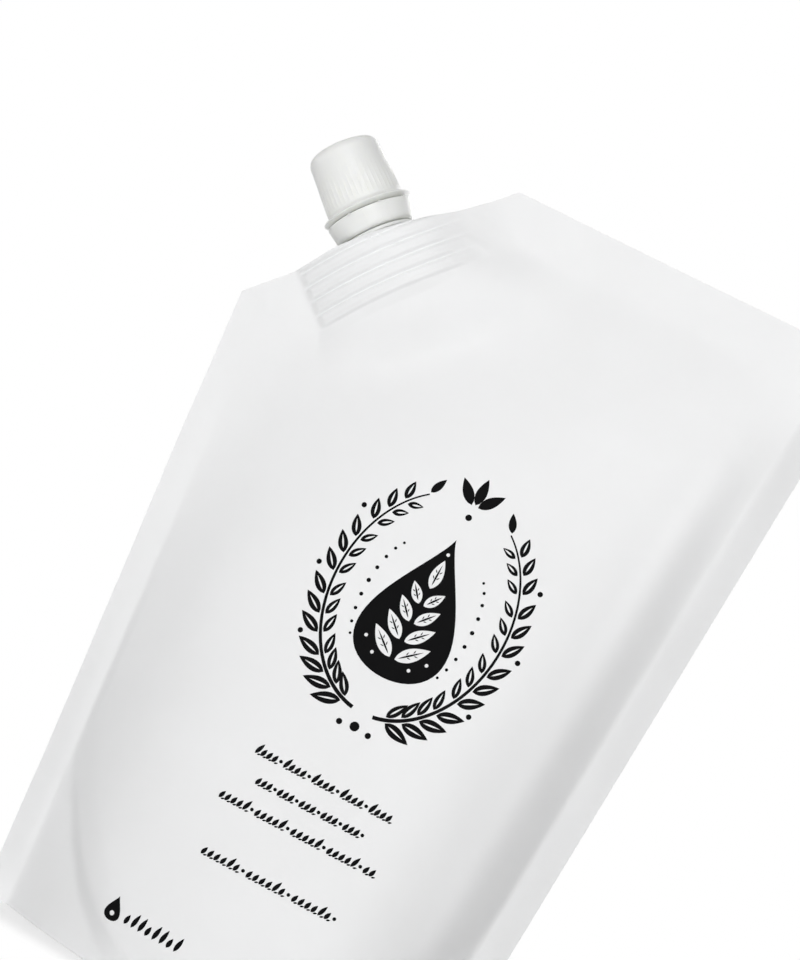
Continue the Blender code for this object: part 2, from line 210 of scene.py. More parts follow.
class Nodes:
    """Short ways to add and join the nodes of one tree."""

    def __init__(self, tree: bpy.types.NodeTree) -> None:
        """Takes the tree that the nodes go into."""
        self.tree = tree

    def add(self, kind: str, **settings: object) -> bpy.types.Node:
        """Adds a node.

        Args:
            kind: Blender's name for the node's type.
            **settings: Attributes of the node, or values of its input sockets by name.

        Returns:
            The node.
        """
        node = self.tree.nodes.new(kind)
        for name, value in settings.items():
            if hasattr(node, name):
                setattr(node, name, value)
            else:
                node.inputs[name.replace("_", " ").title()].default_value = value
        return node

    def join(self, source: Socket, target: Socket) -> None:
        """Links an output socket to an input socket."""
        self.tree.links.new(source, target)

    def noise(self, where: Socket, scale: Socket, detail: float, distortion: float = 0.0) -> Socket:
        """Adds noise.

        Args:
            where: The place on the surface, in metres.
            scale: How many grains go into a metre.
            detail: How many finer layers the noise has.
            distortion: How far its grains are bent.

        Returns:
            The noise's value, about 0.5 on average.
        """
        node = self.add("ShaderNodeTexNoise", detail=detail, distortion=distortion)
        self.join(where, node.inputs["Vector"])
        self.join(scale, node.inputs["Scale"])
        return node.outputs["Fac"]

    def maths(self, operation: str, *values: Socket | float) -> Socket:
        """Adds a sum.

        Args:
            operation: Blender's name for the sum, such as MULTIPLY.
            *values: What goes into it, each a socket or a number.

        Returns:
            The result.
        """
        node = self.add("ShaderNodeMath", operation=operation)
        for value, target in zip(values, node.inputs):
            if isinstance(value, (int, float)):
                target.default_value = value
            else:
                self.join(value, target)
        return node.outputs[0]

    def blend(self, share: Socket, low: Triple, high: Triple) -> Socket:
        """Mixes two colours.

        Args:
            share: How much of the second colour there is, from 0 to 1.
            low: The first colour.
            high: The second colour.

        Returns:
            The mixed colour.
        """
        node = self.add("ShaderNodeMix", data_type="RGBA")
        node.inputs["A"].default_value = (*low, 1.0)
        node.inputs["B"].default_value = (*high, 1.0)
        self.join(share, node.inputs["Factor"])
        return node.outputs["Result"]

    def shaders(self, share: Socket, first: Socket, second: Socket, output: bpy.types.Node) -> None:
        """Mixes two shaders into the surface of a material or world.

        Args:
            share: How much of the second shader there is, from 0 to 1.
            first: The first shader.
            second: The second shader.
            output: The tree's output node.
        """
        mixed = self.add("ShaderNodeMixShader")
        for source, target in zip((share, first, second), mixed.inputs):
            self.join(source, target)
        self.join(mixed.outputs["Shader"], output.inputs["Surface"])

    def seen_rays(self) -> Socket:
        """Tells the rays that see, reflect or pass through to the white background.

        Returns:
            1 for such a ray and 0 for any other.
        """
        path = self.add("ShaderNodeLightPath")
        bounced = self.maths("MAXIMUM", path.outputs["Is Glossy Ray"], path.outputs["Is Transmission Ray"])
        return self.maths("MAXIMUM", path.outputs["Is Camera Ray"], bounced)

    def spread(self, value: Socket, low: float, high: float, to_low: float, to_high: float) -> Socket:
        """Maps a value from one range to another, held at its ends.

        Args:
            value: The value.
            low: Start of the range it comes from.
            high: End of the range it comes from.
            to_low: Result at the start.
            to_high: Result at the end.

        Returns:
            The result.
        """
        node = self.add(
            "ShaderNodeMapRange",
            interpolation_type="SMOOTHSTEP",
            from_min=low,
            from_max=high,
            to_min=to_low,
            to_max=to_high,
        )
        self.join(value, node.inputs["Value"])
        return node.outputs["Result"]


@dataclass
class SurfaceEffect:
    """A node group that several finishes share. It takes a place, a size and a weight, and gives one value.

    It is built once, when it is first asked for.
    """

    name: str
    size: str
    weight: str
    output: str
    fill: Callable[[Nodes, Socket, Socket, Socket], Socket]
    tree: bpy.types.ShaderNodeTree | None = None

    def build(self) -> None:
        """Builds the group."""
        self.tree = bpy.data.node_groups.new(self.name, "ShaderNodeTree")
        for label, kind in (("Place", "Vector"), (self.size, "Float"), (self.weight, "Float")):
            self.tree.interface.new_socket(label, in_out="INPUT", socket_type=f"NodeSocket{kind}")
        self.tree.interface.new_socket(self.output, in_out="OUTPUT", socket_type="NodeSocketFloat")
        nodes = Nodes(self.tree)
        ins, outs = nodes.add("NodeGroupInput").outputs, nodes.add("NodeGroupOutput").inputs
        scale = nodes.maths("DIVIDE", 1.0, ins[self.size])
        nodes.join(self.fill(nodes, ins["Place"], scale, ins[self.weight]), outs[self.output])

    def place(self, nodes: Nodes, where: Socket, size: float, weight: float) -> Socket:
        """Puts the effect into a material.

        Args:
            nodes: The material's tree.
            where: The place on the surface.
            size: The effect's size in metres.
            weight: How strong it is.

        Returns:
            The group's output.
        """
        if self.tree is None:
            self.build()
        node = nodes.add("ShaderNodeGroup", node_tree=self.tree)
        nodes.join(where, node.inputs["Place"])
        node.inputs[self.size].default_value = size
        node.inputs[self.weight].default_value = weight
        return node.outputs[self.output]


def mottle(nodes: Nodes, place: Socket, scale: Socket, strength: Socket) -> Socket:
    """Slow, cloudy change of tone, as film and moulded plastic show it.

    Args:
        nodes: The group's tree.
        place: The place on the surface.
        scale: How many clouds go into a metre.
        strength: How strong they are.

    Returns:
        A tone about 0.5.
    """
    centred = nodes.maths("SUBTRACT", nodes.noise(place, scale, detail=3.0), 0.5)
    return nodes.maths("ADD", nodes.maths("MULTIPLY", centred, strength), 0.5)


def grain(nodes: Nodes, place: Socket, scale: Socket, tooth: Socket) -> Socket:
    """The fine relief of a matt skin: a soft pebble with a finer tooth over it.

    Args:
        nodes: The group's tree.
        place: The place on the surface.
        scale: How many pebbles go into a metre.
        tooth: How much the tooth adds.

    Returns:
        The height.
    """
    fine = nodes.add("ShaderNodeTexVoronoi")
    nodes.join(place, fine.inputs["Vector"])
    nodes.join(nodes.maths("MULTIPLY", scale, 4.0), fine.inputs["Scale"])
    weighed = nodes.maths("MULTIPLY", fine.outputs["Distance"], tooth)
    return nodes.maths("ADD", nodes.noise(place, scale, detail=2.0), weighed)


def rubs(nodes: Nodes, place: Socket, scale: Socket, amount: Socket) -> Socket:
    """Faint rubs from handling: soft, drawn-out patches that are smoother than the rest.

    Args:
        nodes: The group's tree.
        place: The place on the surface.
        scale: How many rubs go into a metre.
        amount: How much they show.

    Returns:
        The mask, from 0 to the amount.
    """
    drawn_out = nodes.add("ShaderNodeMapping", scale=(1.0, 1.0, 6.0), rotation=(0.3, 0.7, 0.2))
    nodes.join(place, drawn_out.inputs["Vector"])
    cloud = nodes.noise(drawn_out.outputs["Vector"], scale, detail=4.0, distortion=0.6)
    return nodes.maths("MULTIPLY", nodes.spread(cloud, 0.52, 0.72, 0.0, 1.0), amount)


MOTTLE = SurfaceEffect("mottle", "Cloud", "Strength", "Tone", mottle)
GRAIN = SurfaceEffect("grain", "Pebble", "Tooth", "Height", grain)
RUBS = SurfaceEffect("rubs", "Size", "Amount", "Mask", rubs)


@dataclass(frozen=True)
class Finish:
    """A surface whose tone, roughness and fine relief all change a little from place to place.

    Where it has no rubs, its roughness follows its tone. Shown in one plain colour, it is its light tone
    unless it names another.
    """

    name: str
    light: Triple
    dark: Triple
    roughness: float
    rubbed: float
    cloud: float
    pebble: float
    tooth: float
    relief: float
    rub_size: float = 0.0
    mottling: float = 1.6
    gloss: float = 0.5
    scatter: float = 0.0
    scatter_depth: Triple = (0.0024, 0.0024, 0.0021)
    plain: Triple | None = None

    def material(self) -> bpy.types.Material:
        """Builds the material.

        Returns:
            The material.
        """
        made = bpy.data.materials.new(self.name)
        made.use_nodes = True
        made.diffuse_color = (*(self.plain or self.light), 1.0)
        nodes = Nodes(made.node_tree)
        ins = made.node_tree.nodes["Principled BSDF"].inputs
        place = nodes.add("ShaderNodeTexCoord").outputs["Object"]
        tone = MOTTLE.place(nodes, place, self.cloud, self.mottling)
        nodes.join(nodes.blend(tone, self.dark, self.light), ins["Base Color"])
        if self.rub_size:
            worn = nodes.spread(
                RUBS.place(nodes, place, self.rub_size, 1.0), 0.0, 1.0, self.roughness, self.rubbed
            )
        else:
            worn = nodes.spread(tone, 0.3, 0.7, self.roughness, self.rubbed)
        nodes.join(worn, ins["Roughness"])
        bump = nodes.add("ShaderNodeBump", strength=1.0, distance=self.relief)
        nodes.join(GRAIN.place(nodes, place, self.pebble, self.tooth), bump.inputs["Height"])
        nodes.join(bump.outputs["Normal"], ins["Normal"])
        ins["IOR"].default_value = 1.5
        ins["Specular IOR Level"].default_value = self.gloss
        if self.scatter:
            ins["Subsurface Weight"].default_value = self.scatter
            ins["Subsurface Radius"].default_value = self.scatter_depth
            ins["Subsurface Scale"].default_value = 1.0
        return made


WHITE_FILM = Finish(
    name="white_film",
    light=(0.905, 0.908, 0.912),
    dark=(0.868, 0.87, 0.872),
    roughness=0.5,
    rubbed=0.44,
    cloud=0.028,
    pebble=0.0011,
    tooth=0.3,
    relief=0.00002,
    rub_size=0.035,
    gloss=0.25,
)

BLACK_INK = Finish(
    name="black_ink",
    light=(0.005, 0.005, 0.0055),
    dark=(0.0012, 0.0012, 0.0014),
    roughness=0.55,
    rubbed=0.65,
    cloud=0.006,
    pebble=0.0009,
    tooth=0.4,
    relief=0.00002,
    mottling=1.8,
    gloss=0.04,
    plain=(0.0012, 0.0012, 0.0014),
)

CAP_RESIN = Finish(
    name="cap_polyethylene",
    light=(0.935, 0.945, 0.91),
    dark=(0.9, 0.912, 0.872),
    roughness=0.42,
    rubbed=0.34,
    cloud=0.008,
    pebble=0.0006,
    tooth=0.5,
    relief=0.00003,
    rub_size=0.009,
    scatter=0.5,
)

RESINS = {
    Resin.CAP: CAP_RESIN,
    Resin.RING: replace(
        CAP_RESIN,
        name="ring_polyethylene",
        light=(0.93, 0.942, 0.906),
        dark=(0.892, 0.906, 0.866),
        roughness=0.4,
        cloud=0.007,
        rub_size=0.008,
    ),
    Resin.SPOUT: replace(
        CAP_RESIN,
        name="spout_polyethylene",
        light=(0.85, 0.86, 0.835),
        dark=(0.81, 0.822, 0.792),
        roughness=0.4,
        rubbed=0.33,
        cloud=0.007,
        tooth=0.4,
        relief=0.00002,
        rub_size=0.008,
        scatter_depth=(0.0018, 0.0018, 0.0016),
    ),
}


# The pouch


@dataclass(frozen=True)
class Tilt:
    """Directions in the plane of the seals: along a slanted line, and out of it."""

    middle: Point
    angle: float

    def split(self, x: Array, z: Array) -> tuple[Array, Array]:
        """Splits a place into its shares along and out of the line.

        Args:
            x: Places across the pouch.
            z: Heights.

        Returns:
            Distances along the line and out of it, both from its middle.
        """
        across, up = x - self.middle[0], z - self.middle[1]
        cos, sin = math.cos(self.angle), math.sin(self.angle)
        return across * cos + up * sin, up * cos - across * sin

    def matrix(self) -> Matrix:
        """The frame whose X runs along the line and whose Z runs out of it."""
        place = Matrix.Translation((self.middle[0], 0, self.middle[1]))
        return place @ Matrix.Rotation(-self.angle, 4, "Y")


@dataclass(frozen=True)
class Fade:
    """A stretch of the pouch's height in which something shows, and how softly it starts and ends."""

    low: float
    rise: float
    high: float
    fall: float

    def share(self, z: Array) -> Array:
        """How much shows at each height, from 0 to 1."""
        return eased((z - self.low) / self.rise) * eased((self.high - z) / self.fall)


@dataclass(frozen=True)
class Wave:
    """A slow wave over a film panel: its height in millimetres, and its run across and up."""

    height: float
    across: float
    up: float
    phase: float
    turn: float

    def relief(self, x: Array, z: Array, turn: Array | float = 0.0) -> Array:
        """Height that the wave adds.

        Args:
            x: Places across the pouch.
            z: Heights.
            turn: How far the waves are shifted there.

        Returns:
            Its height there, in millimetres.
        """
        return self.height * np.sin(x * self.across + z * self.up + self.phase + turn * self.turn)


DENT_WAVES = (
    Wave(0.34, 62, 41, 0.4, 1.0),
    Wave(0.26, 35, -88, 1.9, 1.7),
    Wave(0.16, 131, 27, 4.2, -1.0),
    Wave(0.12, 54, 149, 2.6, 1.0),
)
WAVE_TURN = {Side.FRONT: 0.0, Side.BACK: 2.1}
TOP_SEAL_WAVES = (Wave(0.35, 71, 0, 0.9, 0.0), Wave(0.14, 172, 0, 2.2, 0.0))
SIDE_SEAL_WAVE = Wave(0.22, 0, 118, 0.6, 0.0)
SIDE_SEAL_RIPPLE = Wave(0.13, 0, 263, 0.0, 1.1)


@dataclass(frozen=True)
class Pucker:
    """A short crease pressed into the film, from one point to another across the front."""

    start: Point
    end: Point
    width: float
    depth: float
    end_share: float = 0.35

    def relief(self, x: Array, z: Array) -> Array:
        """Height that the crease adds.

        Args:
            x: Places across the pouch.
            z: Heights.

        Returns:
            Its height there, which is negative for a dent.
        """
        run = np.array(self.end) - np.array(self.start)
        length = float(np.hypot(*run))
        fade = length * self.end_share
        along = ((x - self.start[0]) * run[0] + (z - self.start[1]) * run[1]) / length
        off = ((x - self.start[0]) * run[1] - (z - self.start[1]) * run[0]) / length
        ends = eased(along / fade) * eased((length - along) / fade)
        return self.depth * ends * hump(off, self.width)


@dataclass
class PouchShape:
    """Sizes of the pouch and the depth of its film at each place."""

    height: float = 0.199
    top_width: float = 0.140
    base_width: float = 0.111
    base_depth: float = 0.060
    film: float = 0.0003
    side_seal: float = 0.0062
    top_seal: float = 0.010
    foot_radius: float = 0.004
    cut_across: float = 0.0508
    cut_down: float = 0.049
    side_fullness: float = 2.7
    right_fullness: float = 1.9
    right_reach: float = 0.6
    leg_flatness: float = 0.9
    leg_reach: float = 0.5
    leg_over: float = 3 * MM
    leg_blend: float = 9 * MM
    right_turn: float = 0.6
    left_turn: float = 0.5
    left_turn_top: float = 0.115
    edge_lift: float = 0.00075
    wedge: float = 1.35
    corner_ease: float = 0.05
    tent_run: float = 0.030
    tent_spread: float = 0.75
    tent_soft: float = 0.09
    tail: float = 0.009
    tail_start: float = 0.008
    fold_radius: float = 0.0012
    spout_lean: float = math.radians(4.0)
    boat_length: float = 0.039
    boat_depth: float = 0.014
    boat_half: float = 0.0063
    boat_tip: float = 0.0003
    weld_ribs: int = 4
    weld_rib: float = 0.0006
    weld_film: float = 0.0005
    weld_relief: float = 0.0009
    weld_margin: float = 0.0014
    weld_groove: float = 0.5 * MM
    weld_crown: float = 0.2
    weld_past: float = 2.6 * MM
    weld_blend: float = 3.0 * MM
    rib_past: float = 0.4 * MM
    rib_blend: float = 0.8 * MM
    rib_overrun: float = 1.2 * MM
    rib_fade: float = 2.0 * MM
    rib_tail: float = 7.0 * MM
    gusset_rise: float = 0.042
    gusset_seal: float = 0.005
    gusset_curve: float = 2.6
    gusset_slack: float = 0.6
    gusset_round: float = 4.0
    gusset_flat: float = 0.0006
    skirt: float = 0.0006
    seal_line: float = 0.00025
    seal_line_width: float = 0.0016
    pillow: float = 1.0 * MM
    pillow_start: float = 7 * MM
    pillow_fall: float = 18 * MM
    dent: float = 0.5
    dent_margin: float = 0.02
    ridge: float = 1.5
    ridge_share: float = 0.86
    ridge_width: float = 0.075
    ridge_fade: Fade = Fade(0.012, 0.03, 0.182, 0.04)
    hollow: float = -0.7
    hollow_share: float = -0.8
    hollow_width: float = 0.14
    hollow_fade: Fade = Fade(0.03, 0.03, 0.15, 0.03)
    back_share: float = 0.5
    top_rise: float = 0.7
    top_rise_run: float = 0.013
    side_margin: float = 0.3
    seal_press: float = -0.07 * MM
    gap: float = 0.0003
    puckers: list[Pucker] = field(default_factory=list)

    def __post_init__(self) -> None:
        """Works out the cut edge, the spout's line and the height of the part that is filled."""
        low_z = self.height - self.cut_down
        low = (-float(self.half_width(low_z)), low_z)
        high = (-float(self.half_width(self.height)) + self.cut_across, self.height)
        middle = ((low[0] + high[0]) / 2, (low[1] + high[1]) / 2)
        angle = math.atan2(high[1] - low[1], high[0] - low[0])
        self.cut = Tilt(middle, angle)
        self.spout = Tilt(middle, angle + self.spout_lean)
        self.filled = self.height - self.top_seal

    def half_width(self, z: Array | float) -> Array:
        """Half the pouch's width at a height."""
        return 0.5 * (self.base_width + (self.top_width - self.base_width) * np.asarray(z) / self.height)

    def inner_half(self, z: Array | float) -> Array:
        """Half the width between the side seals at a height."""
        return self.half_width(np.maximum(z, 0.0)) - self.side_seal

    def outer_edge(self, z: float) -> float:
        """Half width over the side seals, whose lower corners are rounded."""
        short = max(self.foot_radius - z, 0.0)
        return float(self.half_width(z)) - self.foot_radius + math.sqrt(self.foot_radius**2 - short**2)

    def folded(self, distance: Array) -> Array:
        """Distance from a seal, eased so that the film leaves the seal in a small bend."""
        near = np.maximum(distance, 0.0)
        return np.sqrt(near**2 + self.fold_radius**2) - self.fold_radius

    def swell(self, x: Array, z: Array) -> Array:
        """Half depth of the filled pouch, which is nil on its seals.

        Args:
            x: Places across the pouch.
            z: Heights.

        Returns:
            The half depth.
        """
        inner = self.inner_half(z)
        share = 1.0 - self.folded(inner - np.abs(x)) / inner
        arch = self.gusset_line(np.minimum(np.abs(x) / inner, 1.0))
        below_arch = eased((arch + self.leg_over - z) / self.leg_blend)
        fullness = self.side_fullness + self.right_fullness * eased(x / inner / self.right_reach)
        fullness = fullness - self.leg_flatness * below_arch * eased(-x / inner / self.leg_reach)
        across = 1.0 - np.clip(share, 0.0, 1.0) ** fullness
        level = 1.0 - self.folded(self.filled - z) / self.filled
        up = 1.0 - np.clip(level, 0.0, 1.0) ** self.wedge
        inside = -self.cut.split(x, z)[1] - self.boat_depth
        beside_cut = 1.0 - (1.0 - np.clip(inside / self.corner_ease, 0.0, 1.0)) ** 2
        return self.base_depth / 2 * across * up * beside_cut

    def fairing(self, x: Array, z: Array) -> Array:
        """Half depth of the film where it runs off the welded boat and down into the pouch.

        Args:
            x: Places across the pouch.
            z: Heights.

        Returns:
            The half depth.
        """
        along, out = self.spout.split(x, z)
        past = -out - self.boat_depth
        spread = self.boat_length / 2 + self.weld_margin + self.tent_spread * np.maximum(past, 0.0)
        lens = 1.0 - (along / spread) ** 2
        lens = (lens + np.sqrt(lens**2 + self.tent_soft**2)) / 2
        long_tail = np.maximum(1.0 - (along / (spread + self.tail)) ** 2, 0.0) ** 1.5
        lens = lens + (np.maximum(long_tail, lens) - lens) * eased(along / self.tail_start)
        return (self.boat_half + self.weld_rib) * lens * (1.0 - eased(past / self.tent_run))

    def weld(self, x: Array, z: Array) -> Array:
        """What the boat and its ribs add where they press through the film.

        Args:
            x: Places across the pouch.
            z: Heights.

        Returns:
            What they add to the half depth.
        """
        along, out = self.spout.split(x, z)
        half = self.boat_length / 2 + self.weld_margin
        lens = np.maximum(0.0, 1.0 - (along / half) ** 2) ** 1.6
        pitch = self.boat_depth / self.weld_ribs
        phase = -out / pitch
        off_groove = (phase - np.round(phase)) * pitch
        rib = 1.0 - hump(off_groove, self.weld_groove) - self.weld_crown * (2 * off_groove / pitch) ** 2
        inside = eased((self.boat_depth + self.weld_past + out) / self.weld_blend)
        fade = self.rib_fade + self.rib_tail * eased(along / self.tail_start)
        ends = eased((self.boat_length / 2 + self.rib_overrun - np.abs(along)) / fade)
        over_ribs = eased((self.boat_depth + self.rib_past + out) / self.rib_blend)
        body = (self.weld_film + self.gap) * lens
        return inside * body + self.weld_relief * rib * ends * over_ribs

    def gusset_line(self, share: Array | float) -> Array:
        """Height of the gusset's arched seal, low in the middle and high at the sides."""
        return self.gusset_seal + (self.gusset_rise - self.gusset_seal) * np.abs(share) ** self.gusset_curve

    def plain_depth(self, x: Array, z: Array) -> Array:
        """Half depth of the film before its fine relief."""
        return self.film + (self.swell(x, z) ** 4 + self.fairing(x, z) ** 4) ** 0.25

    def arch_relief(self, x: Array, z: Array) -> Array:
        """The welded line along the gusset's arch, with the film standing a little prouder above it.

        Args:
            x: Places across the pouch.
            z: Heights.

        Returns:
            What they add to the half depth.
        """
        inner = self.inner_half(z)
        share = np.clip(np.abs(x) / inner, 0.0, 1.0)
        over = z - self.gusset_line(share)
        slope = self.gusset_curve * (self.gusset_rise - self.gusset_seal) * share ** (self.gusset_curve - 1)
        off = over / np.sqrt(1.0 + (slope / inner) ** 2)
        beside_seal = eased((1.0 - share) / 0.06)
        line = self.seal_line * hump(off, self.seal_line_width * 0.55)
        past = hump(np.maximum(off - self.pillow_start, 0.0), self.pillow_fall)
        return beside_seal * (line + self.pillow * eased(off / self.pillow_start) * past)

    def dents(self, x: Array, z: Array, side: Side) -> Array:
        """The slow unevenness of a filled film panel, different on each side.

        Args:
            x: Places across the pouch.
            z: Heights.
            side: Which panel.

        Returns:
            What it adds to the half depth.
        """
        share = x / self.inner_half(z)
        beside = eased((1.0 - np.abs(share)) / self.side_margin)
        mask = beside * eased((self.filled - z) / self.dent_margin) * eased(z / self.dent_margin)
        waves = sum(wave.relief(x, z, WAVE_TURN[side]) for wave in DENT_WAVES)
        ridge = self.ridge * hump(share - self.ridge_share, self.ridge_width) * self.ridge_fade.share(z)
        hollow = self.hollow * hump(share - self.hollow_share, self.hollow_width) * self.hollow_fade.share(z)
        rise = self.top_rise * eased((self.filled - z) / self.top_rise_run) * beside
        pressed = ridge + hollow if side is Side.FRONT else self.back_share * ridge
        return MM * (self.dent * waves * mask + pressed + rise)

    def seal_relief(self, x: Array, z: Array) -> Array:
        """The flat seals lie a hair lower between their margins, as the sealing bars leave them.

        Args:
            x: Places across the pouch.
            z: Heights.

        Returns:
            What they add to the half depth, which is nil or negative.
        """
        on_side = np.abs(x) - self.inner_half(z)
        from_edge = np.minimum(self.side_seal - on_side, self.height - z)
        onto = np.maximum(on_side, z - self.filled)
        return self.seal_press * eased(onto / (0.8 * MM)) * eased((from_edge - 0.5 * MM) / (0.5 * MM))

    def sway(self, x: Array, z: Array) -> Array:
        """How far the thin seals wander to the front or back, both films together.

        Args:
            x: Places across the pouch.
            z: Heights.

        Returns:
            What to add to the film's Y.
        """
        inner = self.inner_half(z)
        near_side = eased((np.abs(x) - inner + 4 * MM) / (8 * MM)) * eased(z / 0.015)
        near_top = eased((z - self.filled + 5 * MM) / (12 * MM))
        along, out = self.spout.split(x, z)
        clear = 1.0 - np.clip(hump(along, 0.03) * hump(out, 0.02) * 1.6, 0.0, 1.0)
        hand = np.sign(x)
        sides = hand * SIDE_SEAL_WAVE.relief(x, z) + SIDE_SEAL_RIPPLE.relief(x, z, hand)
        top = sum(wave.relief(x, z) for wave in TOP_SEAL_WAVES)
        right_off = np.maximum(x - inner + 0.3 * MM, 0.0)
        right_back = self.right_turn * (np.sqrt(right_off**2 + (0.8 * MM) ** 2) - 0.8 * MM)
        left_off = np.maximum(-x - inner, 0.0)
        left_back = self.left_turn * (np.sqrt(left_off**2 + MM**2) - MM)
        turned = right_back * eased(z / 0.02) * eased((self.height - z) / 0.02)
        turned = turned + left_back * eased((self.left_turn_top - z) / 0.07) * eased(z / 0.01)
        return MM * clear * (near_side * sides + near_top * top) + turned

    def depth(self, x: Array, z: Array, side: Side) -> Array:
        """Half depth of the film's outer face.

        Args:
            x: Places across the pouch.
            z: Heights.
            side: Which panel.

        Returns:
            The distance from the plane of the seals.
        """
        total = self.plain_depth(x, z) + self.weld(x, z) + self.arch_relief(x, z)
        total = total + self.dents(x, z, side) + self.seal_relief(x, z)
        if side is Side.FRONT:
            for pucker in self.puckers:
                total = total + pucker.relief(x, z)
        return total

    def face_y(self, x: Array, z: Array, side: Side) -> Array:
        """The Y of the film's outer face."""
        return side.value * self.depth(x, z, side) + self.sway(x, z)

    def lens_ring(self, grow: float, half: float, out: float, steps: int, drop: float = 0.0) -> list[Vector]:
        """A pointed lens about the boat's place, in the spout's frame.

        Args:
            grow: How far it stands past the boat's ends and tips.
            half: Half its thickness in the middle.
            out: Its place along the spout's axis.
            steps: Points from its middle to each end.
            drop: How steeply it falls towards the right end.

        Returns:
            Its points: the front from left to right, and the back from right to left.
        """
        reach, tip = self.boat_length / 2 + grow, self.boat_tip + grow
        places = [math.sin(math.pi / 2 * i / steps) * reach for i in range(-steps, steps + 1)]
        sides = [(x, tip + (half - tip) * (1 - (x / reach) ** 2), out - max(x, 0.0) * drop) for x in places]
        back = [Vector(point) for point in reversed(sides)]
        return [Vector((x, -y, z)) for x, y, z in sides] + back


@dataclass
class PouchFilm:
    """The film pack: front and back panels, seals, cut corner, and the arched gusset underneath."""

    shape: PouchShape
    inner_columns: int = 132
    seal_columns: int = 6
    rows: int = 184
    row_grading: float = 1.08
    top_rows: int = 10
    foot_rows: tuple[float, ...] = (0.04, 0.12)
    middle_crowding: float = 0.35
    weld_grids: tuple[float, ...] = (1.8 * MM, 1.1 * MM)
    collar_reach: float = 0.019
    collar_blend: float = 0.01
    edge_band: float = 0.006
    overcut: float = 0.002
    rim_sharp_deg: float = 61.0
    lens_steps: int = 28
    room_columns: int = 44
    roof_steps: int = 26
    wall_steps: int = 6

    def column_places(self, z: float) -> list[float]:
        """Places of the columns across one row.

        Args:
            z: Height of the row.

        Returns:
            The X of each vertex, from left to right.
        """
        inner = float(self.shape.inner_half(z))
        edge = self.shape.outer_edge(z)
        half = self.inner_columns // 2
        curved, even = self.middle_crowding, 1.0 - self.middle_crowding
        shares = [math.sin(math.pi / 2 * i / half) * curved + i / half * even for i in range(half + 1)]
        right = [share * inner for share in shares]
        right += [inner + (edge - inner) * (i + 1) / self.seal_columns for i in range(self.seal_columns)]
        return [-x for x in reversed(right[1:])] + right

    def row_places(self) -> list[float]:
        """Heights of the rows.

        Returns:
            The heights, closer near the foot, with one on the top seal's lower edge.
        """
        filled = self.shape.filled
        low = [filled * (i / self.rows) ** self.row_grading for i in range(self.rows + 1)]
        high = [filled + self.shape.top_seal * (i + 1) / self.top_rows for i in range(self.top_rows)]
        foot = [self.shape.foot_radius * share for share in self.foot_rows]
        return sorted(low + foot + high)

    def flat_sheet(self) -> bmesh.types.BMesh:
        """One panel's outline as a flat grid, with the corner cut off and a finer grid over the weld.

        Returns:
            The grid, in the plane of the seals.
        """
        bm = bmesh.new()
        grid = [[bm.verts.new((x, 0, z)) for x in self.column_places(z)] for z in self.row_places()]
        for low, high in zip(grid, grid[1:]):
            for i in range(len(low) - 1):
                bm.faces.new((low[i], low[i + 1], high[i + 1], high[i]))
        out = self.shape.cut.matrix().to_3x3() @ Vector((0, 0, 1))
        middle = self.shape.cut.middle
        everything = list(bm.verts) + list(bm.edges) + list(bm.faces)
        bmesh.ops.bisect_plane(
            bm, geom=everything, plane_co=(middle[0], 0, middle[1]), plane_no=out, clear_outer=True
        )
        for margin in self.weld_grids:
            self.refine(bm, margin)
        large = [face for face in bm.faces if len(face.verts) > 4]
        bmesh.ops.triangulate(bm, faces=large)
        return bm

    def refine(self, bm: bmesh.types.BMesh, margin: float) -> None:
        """Halves the grid over the weld.

        Args:
            bm: The flat grid.
            margin: How far past the weld the finer grid goes.
        """
        reach = self.shape.boat_length / 2 + self.shape.weld_margin + margin
        floor = -self.shape.boat_depth - 1.4 * MM - margin
        chosen: set[bmesh.types.BMEdge] = set()
        for face in bm.faces:
            middle = face.calc_center_median()
            along, out = self.shape.spout.split(middle.x, middle.z)
            if abs(along) < reach and out > floor:
                chosen.update(face.edges)
        bmesh.ops.subdivide_edges(bm, edges=list(chosen), cuts=1, use_grid_fill=True)

    def closed_pack(self) -> bpy.types.Object:
        """Both panels, shaped and joined round their edges.

        Returns:
            The closed body.
        """
        bm = self.flat_sheet()
        self.lift_cut_edge(bm)
        x = np.array([vert.co.x for vert in bm.verts])
        z = np.array([vert.co.z for vert in bm.verts])
        close_sheet(bm, x, z, self.shape.face_y(x, z, Side.FRONT), self.shape.face_y(x, z, Side.BACK))
        return add_mesh("pouch_film", bm, self.rim_sharp_deg)

    def lift_cut_edge(self, bm: bmesh.types.BMesh) -> None:
        """Draws the film's cut edge up under the spout's collar.

        Args:
            bm: The flat sheet.
        """
        out_way = self.shape.cut.matrix().to_3x3() @ Vector((0, 0, 1))
        for vert in bm.verts:
            along, out = self.shape.cut.split(vert.co.x, vert.co.z)
            under_collar = float(eased((self.collar_reach - abs(along)) / self.collar_blend))
            at_edge = float(eased((out + self.edge_band) / self.edge_band))
            vert.co += out_way * self.shape.edge_lift * under_collar * at_edge

    def boat_room(self) -> bpy.types.Object:
        """The room that the spout's boat takes up between the films.

        Returns:
            The closed mesh that is cut out.
        """
        shape = self.shape
        half = shape.boat_half + shape.weld_rib + shape.gap
        ends = (self.overcut * 2, -shape.boat_depth - shape.gap)
        bm = loft([shape.lens_ring(shape.gap, half, out, self.lens_steps) for out in ends])
        bm.transform(shape.spout.matrix())
        return add_mesh("boat_room", bm, sharp_deg=40)

